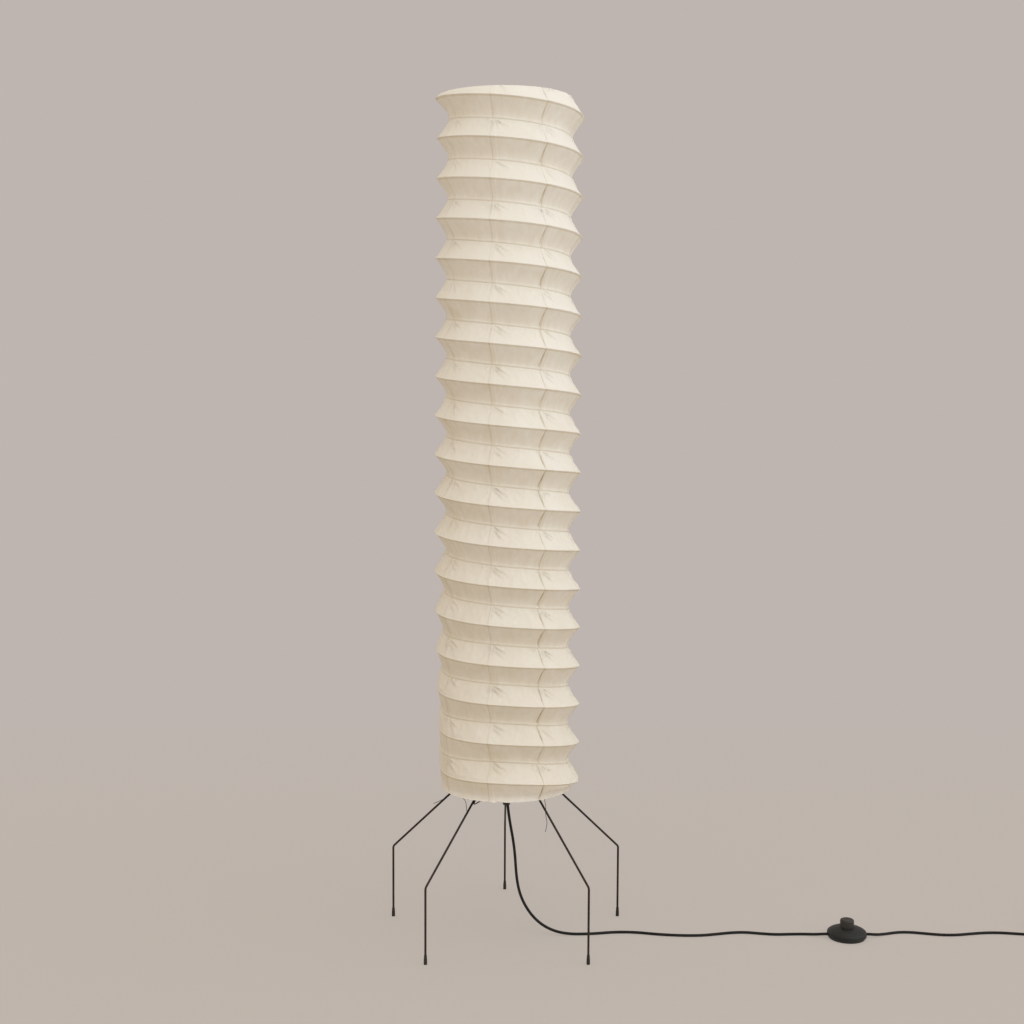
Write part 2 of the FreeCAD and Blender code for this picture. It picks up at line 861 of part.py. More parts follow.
# ---------------------------------------------------------------- foot switch
split = S.switch_split
switch_base = turned(
    "switch_base_outer",
    [
        (0, 0),
        (S.switch_foot_radius, 0),
        (S.switch_radius, split * 0.5),
        (S.switch_radius, split),
        (S.switch_radius - S.switch_wall, split),
        (S.switch_radius - S.switch_wall, S.switch_wall),
        (0, S.switch_wall),
    ],
    S.switch_x,
    S.switch_y,
)


def cord_passage(name):
    """The round way for the cord, straight through both sides of the switch."""
    passage = doc.addObject("Part::Cylinder", name)
    bind(passage, Radius=S.cord_radius + S.slide_gap, Height=S.switch_radius * 2 + 4)
    passage.Placement = Placement(Vector(), Rotation(Vector(0, 1, 0), 90))
    return seat(passage, S.switch_x - S.switch_radius - 2, S.switch_y, S.switch_entry)


def at_screws(name, radius, tall, z):
    """One upright cylinder at the front screw of the switch and one at the back screw."""
    pair = []
    for place, side in (("front", -1), ("back", 1)):
        y = S.switch_y + S.switch_screw_circle * side
        pair.append(cylinder(f"{place}_{name}", radius, tall, S.switch_x, y, z))
    return pair


head_seat = S.screw_head_tall + 0.4
base_cuts = [cord_passage("switch_base_passage")]
base_cuts += at_screws("head_recess", S.screw_head_radius + S.slide_gap, head_seat, -0.1)
base_cuts += at_screws("base_hole", S.grub_radius + S.slide_gap, S.switch_wall + 2, -1)
finish("switch_base", cut("switch_base_cut", switch_base, group("switch_base_cuts", base_cuts)))

cover = turned(
    "switch_cover_outer",
    [
        (S.switch_radius, 0),
        (S.switch_radius * 0.93, (S.switch_tall - split) * 0.4),
        (S.switch_radius * 0.77, (S.switch_tall - split) * 0.72),
        (S.switch_radius * 0.55, (S.switch_tall - split) * 0.93),
        (S.collar_hole, S.switch_tall - split),
        (S.collar_hole, S.switch_tall - split - S.switch_wall),
        (S.switch_radius * 0.55 - 1, (S.switch_tall - split) * 0.93 - S.switch_wall),
        (S.switch_radius * 0.77 - 1.6, (S.switch_tall - split) * 0.72 - S.switch_wall),
        (S.switch_radius - S.switch_wall * 1.9, 0),
    ],
    S.switch_x,
    S.switch_y,
    split + 0.1,
)
post_foot = S.switch_wall + S.touch_gap
post_tall = split + (S.switch_tall - split) * 0.72 - post_foot
posts = at_screws("cover_post", S.switch_post_radius, post_tall, post_foot)
cover_cuts = [cord_passage("switch_cover_passage")]
cover_cuts += at_screws("post_hole", S.grub_radius + S.slide_gap, post_tall - 2, post_foot - 0.1)
cover_with_posts = group("switch_cover_posts", [cover] + posts)
finish("switch_cover", cut("switch_cover_cut", cover_with_posts, group("cover_cuts", cover_cuts)))

button_foot = split + 1
finish(
    "switch_button",
    turned(
        "switch_button",
        [
            (0, S.button_top - button_foot - 4),
            (S.spring_radius + 2, S.button_top - button_foot - 4),
            (S.spring_radius + 2, 0),
            (S.button_radius - 0.1, 0),
            (S.button_radius - 0.1, S.button_top - button_foot - 3),
            (S.button_radius - 1, S.button_top - button_foot - 1),
            (S.button_radius - 3.5, S.button_top - button_foot),
            (0, S.button_top - button_foot),
        ],
        S.switch_x,
        S.switch_y,
        button_foot,
    ),
)
block_foot = S.switch_wall
block_top = S.switch_wall + S.contact_block
finish(
    "switch_contacts",
    turned(
        "switch_contacts",
        [
            (0, 0),
            (S.spring_radius + 1.5, 0),
            (S.spring_radius + 1.5, S.contact_block - 4),
            (S.spring_radius - 2, S.contact_block - 4),
            (S.spring_radius - 2, S.contact_block),
            (0, S.contact_block),
        ],
        S.switch_x,
        S.switch_y,
        block_foot,
    ),
)


def spring():
    """The return spring between the contact block and the underside of the button."""
    foot = V.switch_wall + V.contact_block - 4 + V.spring_wire + V.touch_gap
    top = V.button_top - 4 - V.spring_wire - V.touch_gap
    rise = (top - foot) / V.spring_turns

    def point_at(turns):
        return Vector(V.switch_x, V.switch_y, foot + rise * turns) + on_circle(
            V.spring_radius, 360 * turns
        )

    return swept(wound_path(point_at, V.spring_turns), V.spring_wire)


shaped("switch_spring", spring())

head_foot = head_seat - 0.1 - S.screw_head_tall
heads = at_screws("screw_head", S.screw_head_radius, S.screw_head_tall, head_foot)
shanks = at_screws("screw_shank", S.grub_radius, post_tall - 2, head_foot)
cover_screws = [
    group(f"{place}_cover_screw", [head, shank])
    for place, head, shank in zip(("front", "back"), heads, shanks)
]
finish("switch_screws", group("switch_screw_pair", cover_screws, "Part::Compound"))

# ---------------------------------------------------------------- mains cord
CORD_LOW = 2.7
drop_route = [
    (V.cord_exit_shift, 0, V.stem_foot - V.bush_plate),
    (4.2, 0, 223),
    (8.0, -1, 200),
    (12.6, -3, 176),
    (16.2, -6, 150),
    (18.2, -10, 122),
    (20.6, -13, 98),
    (26.0, -16, 74),
    (36.0, -19, 52),
    (52.0, -24, 31),
    (72.0, -28, 15.5),
    (96.0, -31, 6.0),
    (122.0, -32.5, CORD_LOW),
    (147.0, -32.0, CORD_LOW),
    (170.0, -29.0, CORD_LOW),
    (195.0, -23.0, CORD_LOW),
    (222.0, -20.5, CORD_LOW),
    (250.0, -23.0, CORD_LOW),
    (278.0, -30.5, CORD_LOW),
    (307.0, -35.5, CORD_LOW),
    (340.0, -38.0, CORD_LOW),
    (369.0, -36.5, CORD_LOW),
    (396.0, -29.5, CORD_LOW),
    (424.0, -21.5, CORD_LOW),
    (450.0, -19.0, CORD_LOW),
    (478.0, -25.5, CORD_LOW),
    (506.0, -30.5, CORD_LOW),
    (534.0, -28.0, CORD_LOW),
    (560.0, -27.0, CORD_LOW),
    (580.0, -32.0, 4.0),
    (598.0, V.switch_y, V.switch_entry),
    (V.switch_x - V.switch_radius + V.switch_cord_end, V.switch_y, V.switch_entry),
]
run_route = [
    (V.switch_x + V.switch_radius - V.switch_cord_end, V.switch_y, V.switch_entry),
    (679.0, V.switch_y, V.switch_entry),
    (694.0, -33.5, 4.4),
    (712.0, -25.5, CORD_LOW),
    (738.0, -15.5, CORD_LOW),
    (764.0, -15.0, CORD_LOW),
    (792.0, -22.5, CORD_LOW),
    (820.0, -29.0, CORD_LOW),
    (848.0, -28.5, CORD_LOW),
    (876.0, -21.5, CORD_LOW),
    (904.0, -16.0, CORD_LOW),
    (932.0, -15.5, CORD_LOW),
    (960.0, -20.5, CORD_LOW),
    (984.0, -24.5, CORD_LOW),
    (1008.0, V.coil_y - V.coil_radius + 0.4, CORD_LOW),
    (V.coil_x, V.coil_y - V.coil_radius, CORD_LOW),
]


def cord_tube(label, route, radius):
    """A cord along its route, with its bend radii printed and its volume compared."""
    points = [Vector(*point) for point in route]
    radii = cord_radii(points)
    path = rounded_path(points, radii)
    solid = swept(path, radius)
    expected = math.pi * radius**2 * path.Length
    print(
        f"{label}: length {path.Length:.0f} mm, bend radii {min(radii):.0f} to {max(radii):.0f} mm,"
        f" volume {solid.Volume / expected:.4f} of section x length"
    )
    shaped(label, solid)


cord_tube("cord_drop", drop_route, V.cord_radius)
cord_tube("cord_run", run_route, V.cord_radius)

COIL_CLIMB = 0.5


def coil_point(turns):
    """The put-away coil: in along the floor, up a layer in half a turn, and out again."""
    innermost = V.coil_turns + COIL_CLIMB / 2
    radius = V.coil_radius - V.coil_step * (innermost - abs(turns - innermost))
    height = CORD_LOW + V.coil_layer * share(turns, V.coil_turns, V.coil_turns + COIL_CLIMB)
    centre = Vector(V.coil_x, V.coil_y, 0)
    return centre + on_circle(radius, -90 + 360 * turns, height)


COIL_LENGTH_TURNS = 2 * V.coil_turns + COIL_CLIMB - 0.25
coil_end = coil_point(COIL_LENGTH_TURNS)
plug_way = Vector(0, 1, 0)
tail_end = coil_end + plug_way * V.coil_tail
coil_path = Part.Wire(
    wound_path(coil_point, COIL_LENGTH_TURNS, last_way=plug_way).OrderedEdges
    + [Part.LineSegment(coil_end, tail_end).toShape()]
)


def least_gap(point_at, turns, radius, steps=60):
    """The least gap between one turn and another, measured on points."""
    spots = [point_at(i / steps) for i in range(int(turns * steps) + 1)]
    nearest = min(
        (spots[i] - spots[j]).Length
        for i in range(0, len(spots), 3)
        for j in range(i + steps // 2, len(spots))
    )
    return nearest - 2 * radius


shaped("cord_coil", swept(coil_path, V.cord_radius))
coil_gap = least_gap(coil_point, COIL_LENGTH_TURNS, V.cord_radius)
print(f"cord_coil: length {coil_path.Length:.0f} mm, least gap to itself {coil_gap:.2f} mm")

# ---------------------------------------------------------------- plug
plug_place = Placement(tail_end, Rotation(Vector(1, 0, 0), plug_way))


def plug_body():
    """The moulded plug with its tapered strain relief; local +X points along the cord."""
    relief = Part.makeCone(
        V.cord_radius + 0.5, V.relief_radius, V.relief_long, Vector(0, 0, 0), Vector(1, 0, 0)
    )
    half_wide, half_thick = V.plug_width / 2, tail_end.z
    sections = []
    for x, wide, thick in (
        (V.relief_long - 4, 0.38, 0.62),
        (V.relief_long + V.plug_long * 0.45, 0.9, 1.0),
        (V.relief_long + V.plug_long, 1.0, 1.0),
    ):
        y, z = half_wide * wide, half_thick * thick
        slant = min(y, z) * 0.55
        outline = [
            Vector(x, -y + slant, -z),
            Vector(x, y - slant, -z),
            Vector(x, y, -z + slant),
            Vector(x, y, z - slant),
            Vector(x, y - slant, z),
            Vector(x, -y + slant, z),
            Vector(x, -y, z - slant),
            Vector(x, -y, -z + slant),
        ]
        sections.append(Part.makePolygon(outline + outline[:1]))
    body = Part.makeLoft(sections, True, True)
    return relief.fuse(body).removeSplitter()


def plug_pin(side):
    start = Vector(V.relief_long + V.plug_long, side * V.pin_spacing / 2, 0)
    return Part.makeCylinder(V.pin_radius, V.pin_long, start, Vector(1, 0, 0))


shaped("plug_body", plug_body(), plug_place)
shaped("plug_pins", Part.Compound([plug_pin(-1), plug_pin(1)]), plug_place)

# ---------------------------------------------------------------- tie threads
# The second hangs from the bottom ring, the other two from the hooks of the first and fourth leg.
THREAD_RADIUS = 0.5
ring_under = bottom_ring_height - V.ring_wire_radius - THREAD_RADIUS - 0.1
thread_routes = {
    "tie_thread_1": [
        (-90.2, 23.3, 273.1),
        (-97.7, 25.8, 264.5),
        (-105.4, 28.2, 256.4),
        (-112.6, 31.0, 248.2),
        (-119.4, 32.9, 241.6),
        (-126.0, 34.3, 238.1),
        (-132.0, 35.6, 234.9),
        (-139.3, 36.8, 231.4),
    ],
    "tie_thread_2": [
        (-83.6, -84.1, ring_under),
        (-79.3, -88.2, ring_under - 1.7),
        (-74.5, -90.4, ring_under - 6.4),
        (-73.0, -90.6, ring_under - 12.9),
        (-72.6, -90.3, ring_under - 19.4),
        (-72.2, -90.4, ring_under - 25.5),
    ],
    "tie_thread_4": [
        (69.5, -72.2, 274.1),
        (71.2, -72.6, 264.0),
        (72.7, -72.2, 255.4),
        (72.1, -71.6, 246.1),
        (72.8, -72.0, 237.6),
        (75.1, -72.4, 228.3),
        (74.2, -72.0, 218.9),
        (71.9, -71.6, 209.5),
    ],
}
for label, route in thread_routes.items():
    cord_tube(label, route, THREAD_RADIUS)

# ---------------------------------------------------------------- check and write
doc.recompute()
for item in doc.Objects:
    if "Invalid" in item.State or "Error" in item.State:
        raise RuntimeError(f"{item.Label} failed: {item.State}")
for label, item in sub_parts.items():
    if item.Shape.isNull() or not item.Shape.isValid() or item.Shape.Volume <= 0:
        raise RuntimeError(f"{label} has no sound shape")
os.makedirs("parts", exist_ok=True)
for label, item in sub_parts.items():
    item.Shape.exportStep(f"parts/{label}.step")
print(f"{len(sub_parts)} sub-parts written")
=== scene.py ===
import math

import bmesh
import bpy
from mathutils import Matrix, Vector


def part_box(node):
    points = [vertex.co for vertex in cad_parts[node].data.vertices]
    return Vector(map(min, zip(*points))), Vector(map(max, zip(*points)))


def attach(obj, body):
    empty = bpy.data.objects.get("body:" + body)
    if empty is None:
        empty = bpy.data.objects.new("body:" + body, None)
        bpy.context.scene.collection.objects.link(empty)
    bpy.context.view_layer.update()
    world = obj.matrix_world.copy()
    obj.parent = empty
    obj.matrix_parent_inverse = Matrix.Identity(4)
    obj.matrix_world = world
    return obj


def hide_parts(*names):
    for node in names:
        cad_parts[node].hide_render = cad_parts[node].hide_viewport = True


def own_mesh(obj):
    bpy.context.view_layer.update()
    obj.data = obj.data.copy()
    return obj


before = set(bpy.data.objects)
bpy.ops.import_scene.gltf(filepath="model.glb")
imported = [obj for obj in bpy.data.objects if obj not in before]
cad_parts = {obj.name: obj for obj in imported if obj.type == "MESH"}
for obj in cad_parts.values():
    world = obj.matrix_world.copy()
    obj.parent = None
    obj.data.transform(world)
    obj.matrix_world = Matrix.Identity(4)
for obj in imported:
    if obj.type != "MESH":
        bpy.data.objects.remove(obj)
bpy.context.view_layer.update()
bpy.context.scene.view_settings.view_transform = "Standard"

# ---------------------------------------------------------------- camera
# The viewing angle is a little to the right of the lamp's front, at two thirds of its
# height, and looks slightly down. The picture leans a quarter of a degree to the right.
def in_scene(name, data):
    """A new object in the scene."""
    made = bpy.data.objects.new(name, data)
    bpy.context.scene.collection.objects.link(made)
    return made


camera_data = bpy.data.cameras.new("camera")
camera_data.sensor_width = 36.0
camera_data.lens = 52.82
camera_data.clip_end = 40.0
camera = in_scene("camera", camera_data)
look_down = Matrix.Rotation(math.radians(90.0 - 4.614), 4, "X")
lean = Matrix.Rotation(math.radians(0.262), 4, "Z")
camera.matrix_world = Matrix.Translation((0.00799, -2.7766, 1.0174)) @ look_down @ lean
bpy.context.scene.camera = camera


# ---------------------------------------------------------------- mains cord
# Round two-core mains cord in a smooth black sheath. It drops out of the stem's bush, lies on
# the floor in loose bends as far as the foot switch, and goes on past the edge of the view,
# where the rest is wound into a small coil of two layers that ends in the plug.
def feed(tree, sockets, values):
    """Give sockets their values in order: a field is linked, a plain number is set."""
    for socket, value in zip(sockets, values):
        if isinstance(value, Field):
            tree.links.new(value.socket, socket)
        else:
            socket.default_value = value


class Field:
    """A number in a node tree: arithmetic on it adds Math nodes, in a mesh tree or a material."""

    def __init__(self, tree, socket):
        self.tree = tree
        self.socket = socket

    def maths(self, operation, *others):
        node = self.tree.nodes.new("ShaderNodeMath")
        node.operation = operation
        feed(self.tree, node.inputs, (self,) + others)
        return Field(self.tree, node.outputs[0])

    def __add__(self, other):
        return self.maths("ADD", other)

    def __sub__(self, other):
        return self.maths("SUBTRACT", other)

    def __rsub__(self, other):
        return self.maths("MULTIPLY", -1.0).maths("ADD", other)

    def __mul__(self, other):
        return self.maths("MULTIPLY", other)

    def __truediv__(self, other):
        return self.maths("DIVIDE", other)

    def between(self, low, high):
        """How far the number lies from low to high, held between 0 and 1."""
        node = self.tree.nodes.new("ShaderNodeMapRange")
        feed(self.tree, node.inputs, (self, low, high, 0.0, 1.0))
        return Field(self.tree, node.outputs[0])

    __radd__ = __add__
    __rmul__ = __mul__


def new_material(name, color, roughness, metallic=0.0):
    """A material with its shader's constants set; returns the material, its tree and its shader."""
    material = bpy.data.materials.new(name)
    material.use_nodes = True
    shader = material.node_tree.nodes["Principled BSDF"]
    shader.inputs["Base Color"].default_value = (*color, 1.0)
    shader.inputs["Roughness"].default_value = roughness
    shader.inputs["Metallic"].default_value = metallic
    return material, material.node_tree, shader


def noise(tree, scale, detail=3.0, stretch=(1.0, 1.0, 1.0), kind="FBM"):
    """Noise on the object's own coordinates, stretched along its axes."""
    place = tree.nodes.new("ShaderNodeTexCoord")
    mapping = tree.nodes.new("ShaderNodeMapping")
    mapping.inputs["Scale"].default_value = stretch
    texture = tree.nodes.new("ShaderNodeTexNoise")
    texture.noise_type = kind
    texture.inputs["Scale"].default_value = scale
    texture.inputs["Detail"].default_value = detail
    tree.links.new(place.outputs["Object"], mapping.inputs["Vector"])
    tree.links.new(mapping.outputs["Vector"], texture.inputs["Vector"])
    return Field(tree, texture.outputs[0])


def tint(tree, shader, amount, dark, light, socket="Base Color"):
    """Let a number from 0 to 1 choose the shader's colour between two."""
    mix = tree.nodes.new("ShaderNodeMix")
    mix.data_type = "RGBA"
    tree.links.new(amount.socket, mix.inputs["Factor"])
    colors = [end for end in mix.inputs if end.type == "RGBA"]
    colors[0].default_value = (*dark, 1.0)
    colors[1].default_value = (*light, 1.0)
    color = next(end for end in mix.outputs if end.type == "RGBA")
    tree.links.new(color, shader.inputs[socket])


def relief(tree, shader, height, distance, strength=1.0):
    """Bump the surface by a number, where 1 stands for the distance in metres."""
    bump = tree.nodes.new("ShaderNodeBump")
    bump.inputs["Distance"].default_value = distance
    bump.inputs["Strength"].default_value = strength
    tree.links.new(height.socket, bump.inputs["Height"])
    tree.links.new(bump.outputs["Normal"], shader.inputs["Normal"])


def worn_material(name, dark, light, roughness, grain_scale, grain_depth, metallic=0.0, shine=0.5):
    """A finish with cloudy colour, uneven gloss and a fine grain: paint, rubber or moulded plastic."""
    material, tree, shader = new_material(name, light, roughness, metallic)
    shader.inputs["Specular IOR Level"].default_value = shine
    clouds = noise(tree, 18.0, 4.0)
    tint(tree, shader, clouds.between(0.35, 0.68), dark, light)
    gloss = noise(tree, 70.0, 2.0) * 0.16 + (roughness - 0.08)
    tree.links.new(gloss.socket, shader.inputs["Roughness"])
    relief(tree, shader, noise(tree, grain_scale, 2.0), grain_depth)
    return material


cord_sheath = worn_material(
    "cord_sheath", (0.005, 0.004, 0.004), (0.010, 0.009, 0.008), 0.46, 900.0, 0.00008, shine=0.22
)


def cord_line(name, points, radius, material):
    """A round cord whose centreline is one smooth curve with these control points."""
    curve = bpy.data.curves.new(name, "CURVE")
    curve.dimensions = "3D"
    curve.bevel_depth = radius
    curve.bevel_resolution = 5
    curve.use_fill_caps = True
    spline = curve.splines.new("NURBS")
    spline.points.add(len(points) - 1)
    for place, point in zip(spline.points, points):
        place.co = (*point, 1.0)
    spline.order_u = 3
    spline.use_endpoint_u = True
    spline.resolution_u = 8
    curve.materials.append(material)
    return in_scene(name, curve)


cord_radius = 0.00265
cord_low = 0.0027
switch_x, switch_y, switch_radius = 0.6384, -0.036, 0.0365
switch_entry, switch_cord_end = 0.0065, 0.010
drop_route = [
    (0.0022, 0.0, 0.241),
    (0.0042, 0.0, 0.223),
    (0.0080, -0.001, 0.200),
    (0.0126, -0.003, 0.176),
    (0.0162, -0.006, 0.150),
    (0.0182, -0.010, 0.122),
    (0.0206, -0.013, 0.098),
    (0.0260, -0.016, 0.074),
    (0.0360, -0.019, 0.052),
    (0.0520, -0.024, 0.031),
    (0.0720, -0.028, 0.0155),
    (0.0960, -0.031, 0.006),
    (0.1220, -0.0325, cord_low),
    (0.1470, -0.0320, cord_low),
    (0.1700, -0.0290, cord_low),
    (0.1950, -0.0230, cord_low),
    (0.2220, -0.0205, cord_low),
    (0.2500, -0.0230, cord_low),
    (0.2780, -0.0305, cord_low),
    (0.3070, -0.0355, cord_low),
    (0.3400, -0.0380, cord_low),
    (0.3690, -0.0365, cord_low),
    (0.3960, -0.0295, cord_low),
    (0.4240, -0.0215, cord_low),
    (0.4500, -0.0190, cord_low),
    (0.4780, -0.0255, cord_low),
    (0.5060, -0.0305, cord_low),
    (0.5340, -0.0280, cord_low),
    (0.5600, -0.0270, cord_low),
    (0.5800, -0.0320, 0.0040),
    (0.5980, switch_y, switch_entry),
    (switch_x - switch_radius + switch_cord_end, switch_y, switch_entry),
]
cord_to_switch = cord_line("cord_to_switch", drop_route, cord_radius, cord_sheath)

coil_x, coil_y, coil_radius = 1.034, 0.014, 0.038
coil_step, coil_layer, coil_turns, coil_climb, coil_tail = 0.0059, 0.0058, 4.0, 0.5, 0.020
run_route = [
    (switch_x + switch_radius - switch_cord_end, switch_y, switch_entry),
    (0.6790, switch_y, switch_entry),
    (0.6940, -0.0335, 0.0044),
    (0.7120, -0.0255, cord_low),
    (0.7380, -0.0155, cord_low),
    (0.7640, -0.0150, cord_low),
    (0.7920, -0.0225, cord_low),
    (0.8200, -0.0290, cord_low),
    (0.8480, -0.0285, cord_low),
    (0.8760, -0.0215, cord_low),
    (0.9040, -0.0160, cord_low),
    (0.9320, -0.0155, cord_low),
    (0.9600, -0.0205, cord_low),
    (0.9840, -0.0245, cord_low),
    (1.0080, coil_y - coil_radius + 0.0004, cord_low),
]


def coil_point(turns):
    """The put-away coil: in along the floor, up a layer in half a turn, and out again."""
    innermost = coil_turns + coil_climb / 2
    radius = coil_radius - coil_step * (innermost - abs(turns - innermost))
    climbed = min(1.0, max(0.0, (turns - coil_turns) / coil_climb))
    angle = math.radians(-90.0 + 360.0 * turns)
    x, y = coil_x + radius * math.cos(angle), coil_y + radius * math.sin(angle)
    return (x, y, cord_low + coil_layer * climbed)


points_per_turn = 24
coil_stops = round((2 * coil_turns + coil_climb - 0.25) * points_per_turn)
coil_route = [coil_point(stop / points_per_turn) for stop in range(coil_stops + 1)]
coil_end = Vector(coil_route[-1])
tail_route = [coil_end + Vector((0.0, coil_tail * share, 0.0)) for share in (0.35, 0.7, 1.0)]
plug_start = tail_route[-1]
cord_to_plug = cord_line(
    "cord_to_plug", run_route + coil_route + tail_route, cord_radius, cord_sheath
)
for cord, nodes in (
    (cord_to_switch, ["cord_drop"]),
    (cord_to_plug, ["cord_run", "cord_coil"]),
):
    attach(cord, "stand")
    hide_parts(*nodes)


# ---------------------------------------------------------------- foot switch
# A round foot switch in two moulded shells: a shallow base and a domed cover with faint turned
# rings, and a fat round push button that stands up out of its collar.
def joined_smooth(piece, angle):
    """Smooth shading that keeps the real edges sharp."""
    piece.data.shade_smooth()
    mesh = bmesh.new()
    mesh.from_mesh(piece.data)
    for edge in mesh.edges:
        if len(edge.link_faces) == 2 and edge.calc_face_angle() > math.radians(angle):
            edge.smooth = False
    mesh.to_mesh(piece.data)
    mesh.free()


def finished_piece(name, mesh, material, angle=35.0):
    """Make an object of a built mesh, smooth but for edges sharper than the angle in degrees."""
    bmesh.ops.recalc_face_normals(mesh, faces=mesh.faces)
    data = bpy.data.meshes.new(name)
    mesh.to_mesh(data)
    mesh.free()
    data.materials.append(material)
    piece = in_scene(name, data)
    joined_smooth(piece, angle)
    return piece


def skin_rings(mesh, rings):
    """Join each ring of corners to the next with faces; a ring of one corner closes an end."""
    sides = max(len(ring) for ring in rings)
    for low, high in zip(rings, rings[1:]):
        for side in range(sides):
            after = (side + 1) % sides
            corners = [low[side % len(low)], low[after % len(low)]]
            corners += [high[after % len(high)], high[side % len(high)]]
            unique = list(dict.fromkeys(corners))
            if len(unique) > 2:
                mesh.faces.new(unique)


def turned_piece(name, outline, centre, material, sides=72):
    """A body of revolution from (radius, height) points, where a radius of 0 is on the axis."""
    mesh = bmesh.new()
    rings = []
    for radius, height in outline:
        if radius < 1e-6:
            rings.append([mesh.verts.new((centre[0], centre[1], centre[2] + height))])
            continue
        ring = []
        for side in range(sides):
            turn = math.tau * side / sides
            x, y = centre[0] + radius * math.cos(turn), centre[1] + radius * math.sin(turn)
            ring.append(mesh.verts.new((x, y, centre[2] + height)))
        rings.append(ring)
    skin_rings(mesh, rings)
    return finished_piece(name, mesh, material)


switch_plastic = worn_material(
    "switch_plastic", (0.010, 0.011, 0.010), (0.020, 0.022, 0.019), 0.48, 1100.0, 0.0001, shine=0.35
)
button_plastic = worn_material(
    "button_plastic", (0.020, 0.016, 0.013), (0.040, 0.032, 0.026), 0.46, 1100.0, 0.0001
)
switch_split, switch_tall, collar_hole = 0.009, 0.021, 0.0134
cover_foot = switch_split + 0.0001
switch_place = (switch_x, switch_y, 0.0)
cover_wall, cover_edge, cover_crown = 0.0022, cover_foot + 0.0012, switch_tall + 0.0004
ring_radii = (0.0305, 0.0255, 0.0205)
ring_depth, ring_half, dome_fullness = 0.00035, 0.0005, 2.3
outer = [(switch_radius, cover_foot), (switch_radius, cover_edge)]
steps = 40
for step in range(1, steps + 1):
    radius = switch_radius - (switch_radius - collar_hole) * step / steps
    bulge = (1.0 - (radius / switch_radius) ** dome_fullness) ** (1.0 / 1.5)
    height = cover_edge + (cover_crown - cover_edge) * bulge
    groove = max(math.exp(-(((radius - ring) / ring_half) ** 2)) for ring in ring_radii)
    outer.append((radius, height - ring_depth * groove))
inner = [
    (radius - cover_wall * 0.6, max(cover_foot, height - cover_wall))
    for radius, height in reversed(outer[1:-1:3])
]
cover_outline = outer + [(collar_hole, switch_tall - cover_wall)]
cover_outline += [(radius, height) for radius, height in inner if radius > collar_hole]
cover_outline += [(switch_radius - cover_wall * 1.9, cover_foot), outer[0]]
switch_dome = turned_piece("switch_dome", cover_outline, switch_place, switch_plastic)
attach(switch_dome, "stand")
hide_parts("switch_cover")

button_radius, button_top, button_foot = 0.0129, 0.035, 0.010
button_round, button_hollow, button_roof, button_dish = 0.0030, 0.0080, 0.004, 0.0006
button_outline = [(0.0, button_top - button_roof), (button_hollow, button_top - button_roof)]
button_outline += [(button_hollow, button_foot), (button_radius, button_foot)]
for step in range(9):
    turn = math.radians(90.0 * step / 8)
    radius = button_radius - button_round * (1.0 - math.cos(turn))
    button_outline.append((radius, button_top - button_round * (1.0 - math.sin(turn))))
button_outline += [(0.0078, button_top - 0.0001), (0.0072, button_top - 0.0005)]
button_outline.append((0.0, button_top - button_dish))
push_button = turned_piece("push_button", button_outline, switch_place, button_plastic)
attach(push_button, "foot_button")
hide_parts("switch_button")


def finish_nodes(material, *names):
    """Give CAD nodes a better material."""
    for name in names:
        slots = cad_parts[name].data.materials
        if len(slots):
            for index in range(len(slots)):
                slots[index] = material
        else:
            slots.append(material)


plated_steel = worn_material(
    "plated_steel", (0.30, 0.29, 0.27), (0.52, 0.50, 0.47), 0.34, 1400.0, 0.00003, 1.0
)
finish_nodes(switch_plastic, "switch_base")
finish_nodes(plated_steel, "switch_screws")
contact_brass = worn_material(
    "contact_brass", (0.52, 0.37, 0.17), (0.78, 0.60, 0.32), 0.30, 1400.0, 0.00003, 1.0
)
finish_nodes(contact_brass, "switch_contacts")


def new_tree(name, sizes, material_input, output_name):
    """A mesh tree with named number inputs and one material input; returns its sizes as fields."""
    tree = bpy.data.node_groups.new(name, "GeometryNodeTree")
    for title, value in sizes.items():
        socket = tree.interface.new_socket(title, in_out="INPUT", socket_type="NodeSocketFloat")
        socket.default_value = value
    tree.interface.new_socket(material_input, in_out="INPUT", socket_type="NodeSocketMaterial")
    tree.interface.new_socket(output_name, in_out="OUTPUT", socket_type="NodeSocketGeometry")
    inputs = tree.nodes.new("NodeGroupInput")
    return tree, {title: Field(tree, inputs.outputs[title]) for title in sizes}


def end_tree(tree, geometry):
    """Realize the instances, set the material input and hand the geometry on."""
    inputs = next(node for node in tree.nodes if node.bl_idname == "NodeGroupInput")
    realize = tree.nodes.new("GeometryNodeRealizeInstances")
    paint = tree.nodes.new("GeometryNodeSetMaterial")
    output = tree.nodes.new("NodeGroupOutput")
    tree.links.new(geometry, realize.inputs["Geometry"])
    tree.links.new(realize.outputs[0], paint.inputs["Geometry"])
    material = next(socket for socket in inputs.outputs if socket.type == "MATERIAL")
    tree.links.new(material, paint.inputs["Material"])
    tree.links.new(paint.outputs[0], output.inputs[0])


def sweep_wire(tree, line, radius, sides):
    """Give a line in a node tree the round section of a wire, and end the tree with it."""
    ring = tree.nodes.new("GeometryNodeCurvePrimitiveCircle")
    ring.inputs["Resolution"].default_value = sides
    tree.links.new(radius.socket, ring.inputs["Radius"])
    sweep = tree.nodes.new("GeometryNodeCurveToMesh")
    tree.links.new(line, sweep.inputs["Curve"])
    tree.links.new(ring.outputs[0], sweep.inputs["Profile Curve"])
    sweep.inputs["Fill Caps"].default_value = True
    end_tree(tree, sweep.outputs[0])


